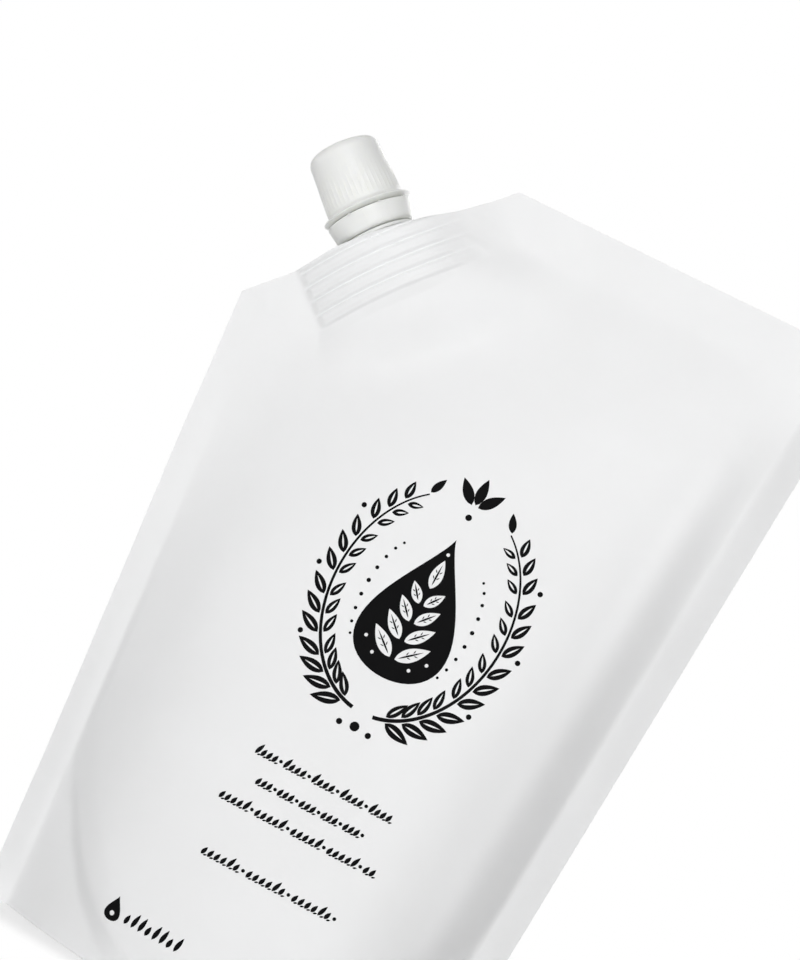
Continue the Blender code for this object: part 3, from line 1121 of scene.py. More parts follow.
    def gusset_room(self) -> bpy.types.Object:
        """The room under the arched gusset, between the skirt's two halves.

        Returns:
            The closed mesh that is cut out.
        """
        last, half = self.last_share(), self.room_columns // 2
        shares = [last * math.sin(math.pi / 2 * i / half) for i in range(-half, half + 1)]
        return add_mesh("gusset_room", loft([self.gusset_ring(share) for share in shares]), sharp_deg=40)

    def last_share(self) -> float:
        """How far across the room under the gusset reaches before the two skirts meet.

        Returns:
            The share of the inner width.
        """
        shape = self.shape
        share = 1.0
        while share > 0.5:
            share -= 0.002
            heights = np.linspace(0.0, float(shape.gusset_line(share)), self.wall_steps + 1)
            x = share * shape.inner_half(heights)
            depths = np.minimum(shape.plain_depth(x, heights), shape.plain_depth(-x, heights))
            if float(np.min(depths)) > shape.skirt + shape.gap:
                break
        return share

    def gusset_ring(self, share: float) -> list[Vector]:
        """The room's outline at one column: up the front skirt, over the gusset, and down the back.

        Args:
            share: The column's share of the inner width, from -1 to 1.

        Returns:
            The outline's points.
        """
        shape = self.shape
        top = float(shape.gusset_line(share))

        def inside(z: float) -> Point:
            """The skirt's inner face at a height, as (X, half depth)."""
            x = share * float(shape.inner_half(z))
            return x, float(shape.plain_depth(np.array([x]), np.array([max(z, 0.0)]))[0]) - shape.skirt

        heights = [-self.overcut, 0.0] + [top * i / self.wall_steps for i in range(1, self.wall_steps)]
        walls = [(*inside(z), z) for z in heights]
        x, reach = inside(top)
        sag = min(top + shape.gusset_flat, shape.gusset_slack * reach)
        roof = []
        for i in range(self.roof_steps + 1):
            y = -reach * math.cos(math.pi * i / self.roof_steps)
            roof.append(Vector((x, y, top - sag * (1 - abs(y / reach) ** shape.gusset_round))))
        front = [Vector((side, -depth, z)) for side, depth, z in walls]
        back = [Vector((side, depth, z)) for side, depth, z in reversed(walls)]
        return front + roof + back

    def build(self) -> bpy.types.Object:
        """Builds and dresses the film pack.

        Returns:
            The pouch's object, riding on the root.
        """
        pack = self.closed_pack()
        cut_away(pack, self.boat_room())
        cut_away(pack, self.gusset_room())
        dress(pack, WHITE_FILM.material())
        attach(pack, "root")
        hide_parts("pouch")
        return pack


# The print


def leaf(place: Point, angle: float, length: float, width: float, steps: int = 9) -> Outline:
    """A pointed leaf that grows from its stalk.

    Args:
        place: Where the stalk is, in millimetres.
        angle: Direction in which the leaf points, in degrees.
        length: Its length.
        width: Its greatest width.
        steps: Points along each side.

    Returns:
        The outline.
    """
    turn = math.radians(angle)
    cos, sin = math.cos(turn), math.sin(turn)
    shares = [i / steps for i in range(steps + 1)]
    left = [(share * length, width / 2 * math.sin(math.pi * share**0.8) ** 0.9) for share in shares]
    right = [(a, -b) for a, b in left[-2:0:-1]]
    return [(place[0] + a * cos - b * sin, place[1] + a * sin + b * cos) for a, b in left + right]


def droplet(place: Point, width: float, height: float, steps: int = 64) -> Outline:
    """A hanging drop, round below and pointed above.

    Args:
        place: Middle of its round part.
        width: Its width.
        height: Its whole height.
        steps: Points round it.

    Returns:
        The outline.
    """
    points = []
    for i in range(steps):
        turn = 2 * math.pi * i / steps
        pinch = math.sin(turn / 2) ** 1.7
        x = width / 2 * 1.475 * math.sin(turn) * pinch
        points.append((place[0] + x, place[1] + height / 2 * math.cos(turn)))
    return points


def dot(place: Point, radius: float, steps: int = 14) -> Outline:
    """A round dot."""
    turns = [2 * math.pi * i / steps for i in range(steps)]
    return [(place[0] + radius * math.cos(t), place[1] + radius * math.sin(t)) for t in turns]


def stroke(points: Sequence[Point], start: float, end: float) -> Outline:
    """A line drawn with a pen, from one width to another.

    Args:
        points: The line's points.
        start: Width at its start.
        end: Width at its end.

    Returns:
        The outline.
    """
    left, right = [], []
    for i, (x, y) in enumerate(points):
        before, after = points[max(i - 1, 0)], points[min(i + 1, len(points) - 1)]
        run = (after[0] - before[0], after[1] - before[1])
        length = math.hypot(*run)
        half = (start + (end - start) * i / (len(points) - 1)) / 2
        nx, ny = -run[1] / length * half, run[0] / length * half
        left.append((x + nx, y + ny))
        right.append((x - nx, y - ny))
    return left + right[::-1]


def beyond(place: Point, angle: float, length: float) -> Point:
    """A place a given way from another, at an angle in degrees."""
    turn = math.radians(angle)
    return place[0] + length * math.cos(turn), place[1] + length * math.sin(turn)


@dataclass(frozen=True)
class Stamp:
    """One printed patch: its outline, and the outlines left open in it."""

    outline: Outline
    holes: tuple[Outline, ...] = ()


@dataclass
class PrintedMark:
    """Black ink on the front panel, drawn flat in millimetres and laid on the film."""

    shape: PouchShape
    name: str
    centre: Point
    draw: Callable[[], list[Stamp]]
    ink: float = 0.00005
    sunk: float = 0.00002
    step: float = 0.0016

    def flat_ink(self) -> bmesh.types.BMesh:
        """Fills the stamps and splits them into small faces.

        Returns:
            The ink, flat in X and Y.
        """
        bm = bmesh.new()
        for stamp in self.draw():
            edges: list[bmesh.types.BMEdge] = []
            for outline in (stamp.outline, *stamp.holes):
                places = [(self.centre[0] + x * MM, self.centre[1] + y * MM, 0) for x, y in outline]
                corners = [bm.verts.new(place) for place in places]
                edges += [bm.edges.new((corners[i - 1], corners[i])) for i in range(len(corners))]
            bmesh.ops.triangle_fill(bm, use_beauty=True, edges=edges, normal=(0, 0, 1))
        self.split(bm, Vector((1, 0, 0)))
        self.split(bm, Vector((0, 1, 0)))
        return bm

    def split(self, bm: bmesh.types.BMesh, way: Vector) -> None:
        """Splits the ink along lines a step apart, so that it can follow the film.

        Args:
            bm: The flat ink.
            way: Direction across the lines.
        """
        reach = [vert.co.dot(way) for vert in bm.verts]
        first, last = math.floor(min(reach) / self.step), math.ceil(max(reach) / self.step)
        for i in range(first + 1, last):
            everything = list(bm.verts) + list(bm.edges) + list(bm.faces)
            bmesh.ops.bisect_plane(bm, geom=everything, plane_co=way * i * self.step, plane_no=way)

    def build(self, finish: bpy.types.Material) -> bpy.types.Object:
        """Lays the ink on the film as a thin closed layer.

        Args:
            finish: The ink's material.

        Returns:
            The print's object, riding on the root.
        """
        bm = self.flat_ink()
        bmesh.ops.remove_doubles(bm, verts=bm.verts, dist=1e-6)
        x = np.array([vert.co.x for vert in bm.verts])
        z = np.array([vert.co.y for vert in bm.verts])
        y = self.shape.face_y(x, z, Side.FRONT)
        close_sheet(bm, x, z, y + self.sunk, y - self.ink)
        mark = add_mesh(self.name, bm, sharp_deg=50)
        dress(mark, finish)
        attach(mark, "root")
        return mark


@dataclass(frozen=True)
class PrintRow:
    """A row of slanted leaflets in small groups, each group ended by a dot. All sizes are in millimetres."""

    name: str
    height: float
    width: float
    pitch: float
    group: int
    first_tall: int
    tall: float = 3.0
    low: float = 2.1

    def stamps(self) -> list[Stamp]:
        """Draws the row.

        Returns:
            Its stamps.
        """
        count = int(self.width / self.pitch)
        stamps: list[Stamp] = []
        for i in range(count + 1):
            x = (i - count / 2) * self.pitch
            if i % self.group == self.group - 1:
                stamps.append(Stamp(dot((x, -0.1), 0.42, 10)))
                continue
            length = self.tall if (i + self.first_tall) % self.group == 0 else self.low
            stamps.append(Stamp(leaf((x - 0.45, -1.1), 66, length, 0.98, 6)))
            stamps.append(Stamp(leaf((x + 0.1, -1.15), 24, 1.0, 0.42, 4)))
        return stamps


PRINT_ROWS = (
    PrintRow("print_row_1", 59.0, 34.0, 1.42, 5, 0),
    PrintRow("print_row_2", 53.0, 26.0, 1.36, 4, 1),
    PrintRow("print_row_3", 46.8, 38.0, 1.5, 6, 2),
    PrintRow("print_row_4", 34.2, 34.0, 1.62, 7, 3),
)


@dataclass(frozen=True)
class Emblem:
    """A drop with a sprig left open in it, between two leafy branches. All sizes are in millimetres."""

    across: float = 20.6
    up: float = 27.0
    branch_start: float = -83.0
    branch_turn: float = 143.0
    branch_steps: int = 60
    branch_leaves: int = 13
    leaf_spacing: float = 4.3
    leaf_lean: float = 36.0
    berry_leaves: tuple[int, ...] = (4, 7, 10)
    drop_width: float = 22.0
    drop_height: float = 35.0
    twig_foot: float = -13.2
    twig_pairs: int = 4
    open_dots: tuple[Point, ...] = ((-4.6, -14.0), (4.6, -14.0), (-7.6, -11.2), (7.6, -11.2), (0.0, 13.0))
    side_dots: int = 9

    def branch(self, side: int) -> list[Stamp]:
        """One of the two leafy branches.

        Args:
            side: 1 for the right branch and -1 for the left.

        Returns:
            Its stem, leaves and berries.
        """
        steps = self.branch_steps
        turns = [math.radians(self.branch_start + self.branch_turn * i / steps) for i in range(steps + 1)]
        line = [(side * self.across * math.cos(turn), self.up * math.sin(turn)) for turn in turns]
        stamps = [Stamp(stroke(line, 0.9, 0.35))]
        for i in range(self.branch_leaves):
            at = 3 + int(i * self.leaf_spacing)
            (x, y), ahead = line[at], line[at + 1]
            heading = math.degrees(math.atan2(ahead[1] - y, ahead[0] - x))
            size = 7.0 - 0.2 * i
            for way, share in ((-1, 1.0), (1, 0.8)):
                lean = side * way * self.leaf_lean
                root = beyond((x, y), heading + lean * 1.8, 0.75)
                angle, length = heading + lean, size * share
                vein = leaf(beyond(root, angle, 1.0), angle, length * 0.62, 0.42, 5)
                stamps.append(Stamp(leaf(root, angle, length, 2.7 * share - 0.05 * i), (vein,)))
            if i in self.berry_leaves:
                stamps.append(Stamp(dot(beyond((x, y), heading - side * 80, 4.6), 0.62)))
        x, y = line[-1]
        stamps.append(Stamp(leaf((x, y + 0.5), 90 + side * 24, 4.6, 1.8)))
        return stamps

    def twig(self) -> tuple[list[Outline], list[Stamp]]:
        """The paired leaves left open in the drop, each with an inked midrib and side veins.

        Returns:
            The open leaves, and the veins printed inside them.
        """
        foot = self.twig_foot
        places = [(0.0, foot + 17.6, 90.0, 7.2)]
        for i in range(self.twig_pairs):
            for way in (1, -1):
                places.append((way * 0.62, foot + 4.5 * i, 90 - way * (50 - 4 * i), 8.2 - 0.95 * i))
        holes: list[Outline] = []
        veins: list[Stamp] = []
        for x, y, angle, length in places:
            width = 1.15 + length * 0.24
            holes.append(leaf((x, y), angle, length, width, 14))
            veins.append(Stamp(leaf(beyond((x, y), angle, 0.8), angle, length * 0.72, 0.42, 10)))
            for j in range(2):
                knot = beyond((x, y), angle, length * (0.32 + 0.2 * j))
                for way in (1, -1):
                    start = beyond(knot, angle + way * 70, 0.3)
                    veins.append(Stamp(leaf(start, angle + way * 38, width * 0.3, 0.24, 4)))
        return holes, veins

    def dotted_line(self, way: int) -> list[Stamp]:
        """The curved line of dots on one side of the drop.

        Args:
            way: 1 for the right side and -1 for the left.

        Returns:
            Its dots, the largest in the middle.
        """
        stamps = []
        for i in range(self.side_dots):
            turn = -0.9 + 0.25 * i
            place = (way * (7.5 + 5.6 * math.cos(turn)), -1.5 + 14.0 * math.sin(turn))
            stamps.append(Stamp(dot(place, 0.5 - 0.045 * abs(i - self.side_dots // 2))))
        return stamps

    def stamps(self) -> list[Stamp]:
        """Draws the emblem.

        Returns:
            Its stamps.
        """
        stamps = self.branch(1) + self.branch(-1)
        holes, veins = self.twig()
        holes += [dot(place, 0.42) for place in self.open_dots]
        stamps.append(Stamp(droplet((0, -0.5), self.drop_width, self.drop_height), tuple(holes)))
        stamps += veins + self.dotted_line(1) + self.dotted_line(-1)
        for place, radius in (((0, -30.4), 1.1), ((3.6, -30.9), 0.7), ((-3.6, -30.9), 0.7)):
            stamps.append(Stamp(dot(place, radius)))
        for angle in (90, 48, 132):
            stamps.append(Stamp(leaf(beyond((0.0, 24.6), angle, 1.2), angle, 6.6, 2.5)))
        stamps.append(Stamp(dot((0, 22.6), 0.75)))
        return stamps


@dataclass
class FrontPrint:
    """The whole print: a leafy emblem, four rows of ornament under it, and a small corner mark."""

    shape: PouchShape
    middle: float = 0.0068
    emblem_height: float = 0.1036
    mark_place: Point = (-0.0128, 0.0134)
    mark_leaves: int = 8

    def corner_mark(self) -> list[Stamp]:
        """A small drop with a row of leaflets beside it.

        Returns:
            Its stamps.
        """
        stamps = [Stamp(droplet((-8.6, 0.2), 4.0, 5.8, 28), (dot((-8.6, -1.0), 0.6, 10),))]
        for i in range(self.mark_leaves):
            stamps.append(Stamp(leaf((-4.9 + i * 1.85, -1.7), 76, 3.7 if i % 3 else 2.5, 1.1, 6)))
        return stamps

    def build(self) -> list[bpy.types.Object]:
        """Builds every part of the print.

        Returns:
            The print's objects.
        """
        ink = BLACK_INK.material()
        mark = partial(PrintedMark, self.shape)
        marks = [mark("print_emblem", (self.middle, self.emblem_height), Emblem().stamps)]
        marks += [mark(row.name, (self.middle, row.height * MM), row.stamps) for row in PRINT_ROWS]
        marks.append(mark("print_corner_mark", self.mark_place, self.corner_mark))
        return [printed.build(ink) for printed in marks]


# Turned and threaded pieces of the spout


@dataclass(frozen=True)
class SpoutLevels:
    """Places along the spout's axis and its shared radii, all from the cut edge."""

    collar_base: float = 0.0009
    collar_end: float = 0.0017
    ring_base: float = 0.0020
    ring_end: float = 0.0068
    cap_base: float = 0.0071
    cap_end: float = 0.0247
    roof: float = 0.0236
    land: float = 0.0220
    neck_end: float = 0.0217
    neck_radius: float = 0.0065
    bore_radius: float = 0.0050
    cap_bore: float = 0.0075
    thread_pitch: float = 0.0030
    thread_start: float = 0.0112
    thread_end: float = 0.0212


LEVELS = SpoutLevels()
MOULDING_SHARP_DEG = 38.0


def rounded(profile: Profile, radius: float, steps: int = 4) -> Profile:
    """Rounds the corners of an open or closed profile.

    Args:
        profile: Points as (radius, height), taken as closed.
        radius: Size of the rounding, cut short where a side is shorter.
        steps: Points on each corner.

    Returns:
        The rounded profile.
    """
    points = [Vector(point) for point in profile]
    made: Profile = []
    for i, point in enumerate(points):
        before, after = points[i - 1], points[(i + 1) % len(points)]
        if point.x <= ON_AXIS:
            made.append((0.0, point.y))
            continue
        to_before, to_after = before - point, after - point
        reach = min(radius, to_before.length * 0.45, to_after.length * 0.45)
        start = point + to_before.normalized() * reach
        end = point + to_after.normalized() * reach
        for j in range(steps + 1):
            share = j / steps
            place = start.lerp(point, share).lerp(point.lerp(end, share), share)
            made.append((place.x, place.y))
    return made


def turned(
    name: str,
    profile: Profile,
    steps: int,
    shape: PouchShape,
    shift: Callable[[Array, Array, Array], Array] | None = None,
) -> bpy.types.Object:
    """A turned piece on the spout's axis.

    Args:
        name: Name of the object.
        profile: Closed profile as (radius, height); points on the axis are joined into one.
        steps: Faces round it.
        shape: The pouch, which says where the axis is.
        shift: What to add to the radius, from the radii, heights and angles of the points.

    Returns:
        The object.
    """
    radii, heights = np.array(profile).T
    angles = 2 * math.pi * np.arange(steps) / steps
    wide, round_it = np.meshgrid(radii, angles, indexing="ij")
    tall = np.repeat(heights[:, None], steps, axis=1)
    if shift is not None:
        wide = wide + np.where(wide > ON_AXIS, shift(wide, tall, round_it), 0.0)
    x, y = wide * np.cos(round_it), wide * np.sin(round_it)
    bm = bmesh.new()
    rows = []
    for i, radius in enumerate(radii):
        if radius <= ON_AXIS:
            rows.append([bm.verts.new((0, 0, heights[i]))] * steps)
        else:
            rows.append([bm.verts.new(point) for point in zip(x[i], y[i], tall[i])])
    for low, high in zip(rows, rows[1:] + rows[:1]):
        if low[0] is low[-1] and high[0] is high[-1]:
            continue
        for j in range(steps):
            after = (j + 1) % steps
            corners = [low[j], low[after], high[after], high[j]]
            bm.faces.new(list(dict.fromkeys(corners)))
    bm.transform(shape.spout.matrix())
    return add_mesh(name, bm, MOULDING_SHARP_DEG)


def finer(profile: Profile, low: float, high: float, pitch: float) -> Profile:
    """Adds points to the long sides of a profile between two heights.

    Args:
        profile: Points as (radius, height), taken as closed.
        low: Lower height.
        high: Upper height.
        pitch: Greatest distance between points there.

    Returns:
        The profile with the added points.
    """
    made: Profile = []
    for i, (radius, height) in enumerate(profile):
        after = profile[(i + 1) % len(profile)]
        made.append((radius, height))
        if radius <= ON_AXIS or after[0] <= ON_AXIS:
            continue
        if min(height, after[1]) >= high or max(height, after[1]) <= low:
            continue
        length = math.hypot(after[0] - radius, after[1] - height)
        count = int(length / pitch)
        for j in range(1, count):
            share = j / count
            made.append((radius + (after[0] - radius) * share, height + (after[1] - height) * share))
    return made


def thread_ridge(height: Array, angle: Array, phase: float, crest: float) -> Array:
    """How far a screw thread's ridge stands at each point, from 0 to 1.

    Args:
        height: Heights along the axis.
        angle: Angles round it.
        phase: Where in the pitch the ridge lies, from 0 to 1.
        crest: Half width of the ridge as a share of the pitch.

    Returns:
        The ridge's share of its full height.
    """
    turn = height / LEVELS.thread_pitch - angle / (2 * math.pi) - phase
    off = np.abs(turn - np.round(turn))
    return eased((crest - off) / (crest * 0.55))


@dataclass
class ScrewCap:
    """The cap: domed top, round shoulder, fine grip ribs, flared lip, and a thread inside."""

    shape: PouchShape
    foot: float = 0.00905
    top: float = 0.0085
    shoulder: float = 0.0024
    shoulder_deg: float = 84.0
    dome: float = 0.0006
    lip: float = 0.01065
    lip_rise: float = 0.0026
    lip_edge: float = 0.00025
    lip_flare: float = 2.6
    ribs: int = 48
    rib: float = 0.0001
    foot_bore: float = 0.0080
    seat_edge: float = 0.0064
    seat_groove: float = 0.0058
    seat_lip: float = 0.0052
    thread: float = 0.00055
    steps: int = 384

    def profile(self) -> Profile:
        """The cap's closed profile.

        Returns:
            Its points: over the dome, down the outer side, under the lip, and up inside.
        """
        shoulder_z = LEVELS.cap_end - self.dome - self.shoulder
        outer: Profile = [(0.0, LEVELS.cap_end)]
        flat = self.top - self.shoulder
        for i in range(1, 5):
            share = i / 5
            outer.append((flat * share, LEVELS.cap_end - self.dome * 0.55 * share**2))
        for i in range(13):
            turn = math.radians(self.shoulder_deg - self.shoulder_deg * i / 12)
            radius = flat + self.shoulder * math.cos(turn)
            outer.append((radius, shoulder_z + self.shoulder * math.sin(turn)))
        lip_z = LEVELS.cap_base + self.lip_rise
        edge = LEVELS.cap_base + self.lip_rise * 0.3
        for i in range(1, 9):
            share = i / 8
            radius = self.top + (self.foot - self.top) * share
            outer.append((radius, shoulder_z + (lip_z - shoulder_z) * share))
        for i in range(1, 7):
            share = i / 6
            out = (self.lip - self.foot) * share**self.lip_flare
            outer.append((self.foot + out, lip_z + (edge + self.lip_edge - lip_z) * share))
        outer.append((self.lip - 0.00005, edge + 0.00004))
        outer.append((self.foot + 0.0002, LEVELS.cap_base + 0.00012))
        outer.append((self.foot - 0.0001, LEVELS.cap_base))
        inner: Profile = [
            (self.foot_bore, LEVELS.cap_base),
            (self.foot_bore - 0.0001, LEVELS.cap_base + 0.0003),
            (LEVELS.cap_bore, lip_z),
            (LEVELS.cap_bore, LEVELS.land),
            (self.seat_edge, LEVELS.land),
            (self.seat_groove, LEVELS.land + 0.0002),
            (self.seat_lip, LEVELS.land),
            (LEVELS.bore_radius, LEVELS.land),
            (LEVELS.bore_radius, LEVELS.roof),
            (0.0, LEVELS.roof),
        ]
        return finer(outer + inner, LEVELS.cap_base + 0.002, LEVELS.land, 0.00028)

    def relief(self, radius: Array, height: Array, angle: Array) -> Array:
        """Grip ribs on the outside and the thread on the inside.

        Args:
            radius: Radii of the points.
            height: Their heights.
            angle: Their angles.

        Returns:
            What to add to each radius.
        """
        outside = radius > (self.foot_bore + self.top) / 2
        low = LEVELS.cap_base + self.lip_rise * 0.8
        high = LEVELS.cap_end - self.dome - self.shoulder
        up = (height - low) / (high - low)
        reach = eased(up / 0.1) * eased((0.85 - up) / 0.6)
        wave = np.maximum(np.cos(angle * self.ribs), 0.0) ** 2.5
        ribs = self.rib * wave * reach * outside
        bore = (np.abs(radius - LEVELS.cap_bore) < 0.0001) & (height < LEVELS.land - 0.0001)
        ends = eased((height - LEVELS.thread_start + 0.0006) / 0.001) * eased((LEVELS.land - height) / 0.001)
        return ribs - self.thread * thread_ridge(height, angle, 0.5, 0.17) * ends * bore

    def build(self) -> bpy.types.Object:
        """Builds and dresses the cap.

        Returns:
            The cap's object, riding on its own body.
        """
        cap = turned("screw_cap", self.profile(), self.steps, self.shape, self.relief)
        dress(cap, RESINS[Resin.CAP].material())
        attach(cap, "cap")
        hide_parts("cap")
        return cap


@dataclass
class TamperRing:
    """The ring below the cap, hooked under the neck's bead, with its break-off bridges."""

    shape: PouchShape
    foot: float = 0.0093
    top: float = 0.0102
    wall: float = 0.0011
    hook: float = 0.0068
    hook_height: float = 0.0014
    bridges: int = 8
    bridge_width: float = 0.0007
    bridge_thickness: float = 0.0006
    rounding: float = 0.00022
    steps: int = 192

    def profile(self) -> Profile:
        """The ring's closed profile.

        Returns:
            Its points, with a rounded foot and a hook inside.
        """
        low = LEVELS.ring_base
        slope = (self.top - self.foot) / (LEVELS.ring_end - low)
        sharp: Profile = [
            (self.top, LEVELS.ring_end),
            (self.top - slope * 0.0012, LEVELS.ring_end - 0.0012),
            (self.foot + slope * 0.0011, low + 0.0011),
            (self.foot - 0.0001, low + 0.0004),
            (self.foot - 0.0007, low),
            (self.hook + 0.0002, low),
            (self.hook, low + 0.0002),
            (self.hook, low + 0.0003 + self.hook_height),
            (self.foot - self.wall, low + 0.0003 + self.hook_height),
            (self.top - self.wall, LEVELS.ring_end),
        ]
        return rounded(sharp, self.rounding)

    def bridge(self, index: int) -> bmesh.types.BMesh:
        """One thin bridge, waisted in its middle where it breaks.

        Args:
            index: Which bridge, from 0.

        Returns:
            The bridge, in the pouch's frame.
        """
        middle = self.top - self.wall / 2
        end = LEVELS.cap_base - 0.00001
        waists = {
            LEVELS.ring_end - 0.0004: 1.0,
            LEVELS.ring_end + 0.00004: 0.85,
            (LEVELS.ring_end + end) / 2: 0.55,
            end - 0.00004: 0.85,
            end: 0.9,
        }
        rings = []
        for height, waist in waists.items():
            deep, wide = self.bridge_thickness / 2, self.bridge_width / 2 * waist
            corners = ((-deep, -wide), (deep, -wide), (deep, wide), (-deep, wide))
            rings.append([Vector((middle + x, y, height)) for x, y in corners])
        bm = loft(rings)
        bm.transform(Matrix.Rotation(2 * math.pi * (index + 0.5) / self.bridges, 4, "Z"))
        bm.transform(self.shape.spout.matrix())
        return bm

    def build(self) -> bpy.types.Object:
        """Builds and dresses the ring with its bridges.

        Returns:
            The ring's object, riding on its own body.
        """
        ring = turned("tamper_ring_moulding", self.profile(), self.steps, self.shape)
        bm = bmesh.new()
        bm.from_mesh(ring.data)
        for index in range(self.bridges):
            piece = self.bridge(index)
            bmesh.ops.recalc_face_normals(piece, faces=piece.faces)
            spare = bpy.data.meshes.new("bridge")
            piece.to_mesh(spare)
            piece.free()
            bm.from_mesh(spare)
            bpy.data.meshes.remove(spare)
        bm.to_mesh(ring.data)
        bm.free()
        ring.data.shade_smooth()
        ring.data.set_sharp_from_angle(angle=math.radians(MOULDING_SHARP_DEG))
        dress(ring, RESINS[Resin.RING].material())
        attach(ring, "ring")
        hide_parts("tamper_ring")
        return ring


@dataclass
class SpoutMoulding:
    """The spout: threaded neck, bead, collar, and the ribbed boat that the films are welded to."""

    shape: PouchShape
    collar: float = 0.0086
    bead: float = 0.0073
    bead_base: float = 0.0040
    bead_end: float = 0.0052
    thread: float = 0.00055
    rounding: float = 0.00016
    hole_reach: float = 0.004
    hole_steps: int = 96
    steps: int = 192
    rib_steps: int = 12
    lens_steps: int = 26

    def neck_profile(self) -> Profile:
        """Closed profile of the tube.

        Returns:
            Its points: outside from the rim down, then up the bore.
        """
        neck, bore = LEVELS.neck_radius, LEVELS.bore_radius
        sharp: Profile = [
            (neck - 0.0003, LEVELS.neck_end),
            (neck, LEVELS.neck_end - 0.0003),
            (neck, self.bead_end + 0.0008),
            (self.bead, self.bead_end),
            (self.bead, self.bead_base),
            (neck, self.bead_base),
            (neck, LEVELS.collar_end),
            (self.collar, LEVELS.collar_end),
            (self.collar, LEVELS.collar_base),
            (neck - 0.0008, LEVELS.collar_base),
            (neck - 0.0008, -self.shape.boat_depth),
            (bore, -self.shape.boat_depth),
            (bore, LEVELS.neck_end - 0.0002),
            (bore + 0.0002, LEVELS.neck_end),
        ]
        smooth = rounded(sharp, self.rounding, 3)
        return finer(smooth, self.bead_end + 0.0009, LEVELS.neck_end - 0.0004, 0.00022)

    def relief(self, radius: Array, height: Array, angle: Array) -> Array:
        """The thread on the neck's outside.

        Args:
            radius: Radii of the points.
            height: Their heights.
            angle: Their angles.

        Returns:
            What to add to each radius.
        """
        outside = np.abs(radius - LEVELS.neck_radius) < 0.0001
        ends = eased((height - LEVELS.thread_start) / 0.0008) * eased((LEVELS.thread_end - height) / 0.0008)
        return self.thread * thread_ridge(height, angle, 0.0, 0.17) * ends * outside

    def boat(self) -> bpy.types.Object:
        """The boat with its weld ribs, pointed at both ends.

        Returns:
            The boat, with room for the tube.
        """
        shape = self.shape
        pitch = shape.boat_depth / shape.weld_ribs
        rings = []
        count = shape.weld_ribs * self.rib_steps
        for i in range(count + 1):
            out = -shape.boat_depth * i / count
            wave = 0.5 - 0.5 * math.cos(2 * math.pi * -out / pitch)
            half = shape.boat_half + shape.weld_rib * float(eased((wave - 0.15) / 0.6))
            drop = math.tan(shape.spout_lean) * (1 + out / shape.boat_depth)
            rings.append(shape.lens_ring(0.0, half, out, self.lens_steps, drop))
        bm = loft(rings)
        bm.transform(shape.spout.matrix())
        boat = add_mesh("spout_boat", bm, MOULDING_SHARP_DEG)
        radius, top, foot = LEVELS.neck_radius - 0.0006, self.hole_reach, -shape.boat_depth - self.hole_reach
        room = [(0.0, top), (radius, top), (radius, foot), (0.0, foot)]
        hole = turned("boat_hole", room, self.hole_steps, shape)
        cut_away(boat, hole)
        return boat

    def build(self) -> list[bpy.types.Object]:
        """Builds and dresses the spout's neck and boat.

        Returns:
            Both objects, riding on the root.
        """
        finish = RESINS[Resin.SPOUT].material()
        neck = turned("spout_neck", self.neck_profile(), self.steps, self.shape, self.relief)
        boat = self.boat()
        for piece in (neck, boat):
            dress(piece, finish)
            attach(piece, "root")
        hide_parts("spout")
        return [neck, boat]


# The studio


@dataclass(frozen=True)
class Lamp:
    """A square soft lamp, with its side in metres and its power in watts."""

    name: str
    place: Triple
    size: float
    power: float

    def build(self, aim: Triple) -> None:
        """Hangs the lamp.

        Args:
            aim: The place that it faces.
        """
        data = bpy.data.lights.new(self.name, "AREA")
        data.shape = "SQUARE"
        data.size = self.size
        data.energy = self.power
        lamp = bpy.data.objects.new(self.name, data)
        turn = (Vector(aim) - Vector(self.place)).to_track_quat("-Z", "Y")
        lamp.matrix_world = Matrix.Translation(self.place) @ turn.to_matrix().to_4x4()
        bpy.context.scene.collection.objects.link(lamp)


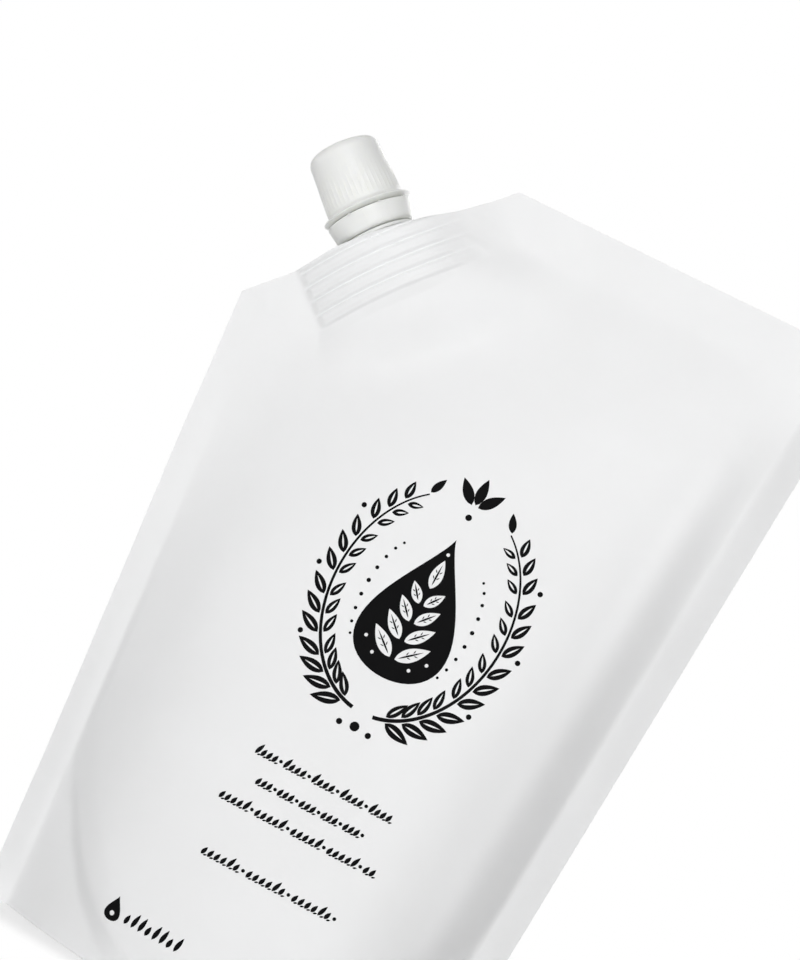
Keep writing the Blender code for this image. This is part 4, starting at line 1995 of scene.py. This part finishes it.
@dataclass
class Studio:
    """White floor and backdrop, plain soft light, and the camera at the photograph's angle."""

    camera_place: Triple = (0.10973, -0.77289, 0.0902)
    azimuth_deg: float = -9.031
    rise_deg: float = 2.723
    roll_deg: float = 27.399
    focal_px: float = 3421.2
    long_side_px: float = 960.0
    sensor: float = 36.0
    ambient: float = 0.26
    lamps: tuple[Lamp, ...] = (
        Lamp("key_softbox", (0.04, -1.12, 0.5), 0.62, 7.45),
        Lamp("fill_softbox", (-1.02, -0.62, 0.2), 0.6, 0.8),
        Lamp("back_softbox", (0.25, 1.2, 0.55), 0.9, 8.0),
    )
    aim: Triple = (0.0, 0.0, 0.1)
    floor_radius: float = 3.0
    floor_drop: float = 0.0001
    floor_tone: float = 0.95
    floor_roughness: float = 0.8
    footprint: Point = (0.0555, 0.0302)
    shadow_from: float = 0.8
    shadow_to: float = 1.6
    floor_veil: float = 0.4

    def camera(self) -> None:
        """Sets the camera with the photograph's place, turn and field of view."""
        data = bpy.data.cameras.new("photo_camera")
        data.sensor_width = self.sensor
        data.lens = self.focal_px / self.long_side_px * self.sensor
        data.clip_start = 0.05
        data.clip_end = 20.0
        azimuth, rise = math.radians(self.azimuth_deg), math.radians(self.rise_deg)
        level = math.cos(rise)
        ahead = Vector((math.sin(azimuth) * level, math.cos(azimuth) * level, math.sin(rise)))
        right = ahead.cross(Vector((0, 0, 1))).normalized()
        above = right.cross(ahead)
        turn = Matrix((right, above, -ahead)).transposed()
        spin = Matrix.Rotation(math.radians(self.roll_deg), 3, "Z")
        camera = bpy.data.objects.new("photo_camera", data)
        camera.matrix_world = Matrix.Translation(self.camera_place) @ (turn @ spin).to_4x4()
        bpy.context.scene.collection.objects.link(camera)
        bpy.context.scene.camera = camera

    def surroundings(self) -> None:
        """Sets an even grey that lights the object and a white that the camera sees."""
        world = bpy.data.worlds.new("white_room")
        world.use_nodes = True
        bpy.context.scene.world = world
        nodes = Nodes(world.node_tree)
        light, white = world.node_tree.nodes["Background"], nodes.add("ShaderNodeBackground")
        for background, strength in ((light, self.ambient), (white, 1.0)):
            background.inputs["Color"].default_value = (1, 1, 1, 1)
            background.inputs["Strength"].default_value = strength
        output = world.node_tree.nodes["World Output"]
        nodes.shaders(nodes.seen_rays(), light.outputs["Background"], white.outputs["Background"], output)

    def floor_finish(self) -> bpy.types.Material:
        """Builds the floor's material, which keeps the shadow near the object.

        Returns:
            The material, plain white to the camera further out.
        """
        finish = bpy.data.materials.new("white_floor")
        finish.use_nodes = True
        nodes = Nodes(finish.node_tree)
        shader = finish.node_tree.nodes["Principled BSDF"]
        shader.inputs["Base Color"].default_value = (self.floor_tone, self.floor_tone, self.floor_tone, 1)
        shader.inputs["Roughness"].default_value = self.floor_roughness
        place = nodes.add("ShaderNodeTexCoord").outputs["Object"]
        shares = nodes.add("ShaderNodeVectorMath", operation="MULTIPLY")
        shares.inputs[1].default_value = (1 / self.footprint[0], 1 / self.footprint[1], 0.0)
        nodes.join(place, shares.inputs[0])
        far = nodes.add("ShaderNodeVectorMath", operation="LENGTH")
        nodes.join(shares.outputs["Vector"], far.inputs[0])
        away = nodes.spread(far.outputs["Value"], self.shadow_from, self.shadow_to, self.floor_veil, 1.0)
        glow = nodes.add("ShaderNodeEmission")
        glow.inputs["Color"].default_value = (1, 1, 1, 1)
        veil = nodes.maths("MULTIPLY", nodes.seen_rays(), away)
        output = finish.node_tree.nodes["Material Output"]
        nodes.shaders(veil, shader.outputs["BSDF"], glow.outputs["Emission"], output)
        return finish

    def floor(self) -> None:
        """Lays a white floor that shows the object's shadow near it and runs out to plain white."""
        bm = bmesh.new()
        bmesh.ops.create_circle(bm, cap_ends=True, cap_tris=False, segments=96, radius=self.floor_radius)
        bmesh.ops.translate(bm, vec=(0, 0, -self.floor_drop), verts=bm.verts)
        floor = add_mesh("floor", bm, sharp_deg=30)
        dress(floor, self.floor_finish())

    def build(self) -> None:
        """Sets the camera, lamps, surroundings and floor."""
        bpy.context.scene.view_settings.view_transform = "Standard"
        self.camera()
        self.surroundings()
        for lamp in self.lamps:
            lamp.build(self.aim)
        self.floor()


def spout_puckers() -> list[Pucker]:
    """The small creases that run off both ends of the welded boat.

    Returns:
        The creases, in metres.
    """
    return [
        Pucker((-0.0655, 0.1525), (-0.0610, 0.1440), 0.0006, -0.00016),
        Pucker((-0.0635, 0.1560), (-0.0580, 0.1465), 0.0007, 0.00014),
        Pucker((-0.0300, 0.1780), (-0.0215, 0.1745), 0.0009, -0.00018),
        Pucker((-0.0270, 0.1840), (-0.0170, 0.1835), 0.0009, 0.00014),
    ]


def seal_puckers() -> list[Pucker]:
    """The faint creases that run in from the side seals of a filled pouch.

    Returns:
        The creases, in metres.
    """
    return [
        Pucker((-0.0570, 0.0560), (-0.0460, 0.0490), 0.0011, -0.00018),
        Pucker((-0.0600, 0.0900), (-0.0500, 0.0860), 0.0012, -0.00014),
        Pucker((-0.0640, 0.1260), (-0.0530, 0.1210), 0.0011, 0.00014),
        Pucker((0.0610, 0.1620), (0.0470, 0.1700), 0.0014, -0.00020),
        Pucker((0.0590, 0.1340), (0.0480, 0.1380), 0.0012, -0.00014),
        Pucker((0.0550, 0.0880), (0.0440, 0.0900), 0.0012, 0.00014),
    ]


def main() -> None:
    """Builds the refill piece by piece and reports each one."""
    logging.basicConfig(level=logging.INFO, format="%(name)s: %(message)s")
    shape = PouchShape(puckers=spout_puckers() + seal_puckers())
    Studio().build()
    made = [PouchFilm(shape).build()]
    made += FrontPrint(shape).build()
    made += SpoutMoulding(shape).build()
    made.append(TamperRing(shape).build())
    made.append(ScrewCap(shape).build())
    for piece in made:
        LOG.info("%s: %d faces", piece.name, len(piece.data.polygons))


if __name__ == "__main__":
    main()
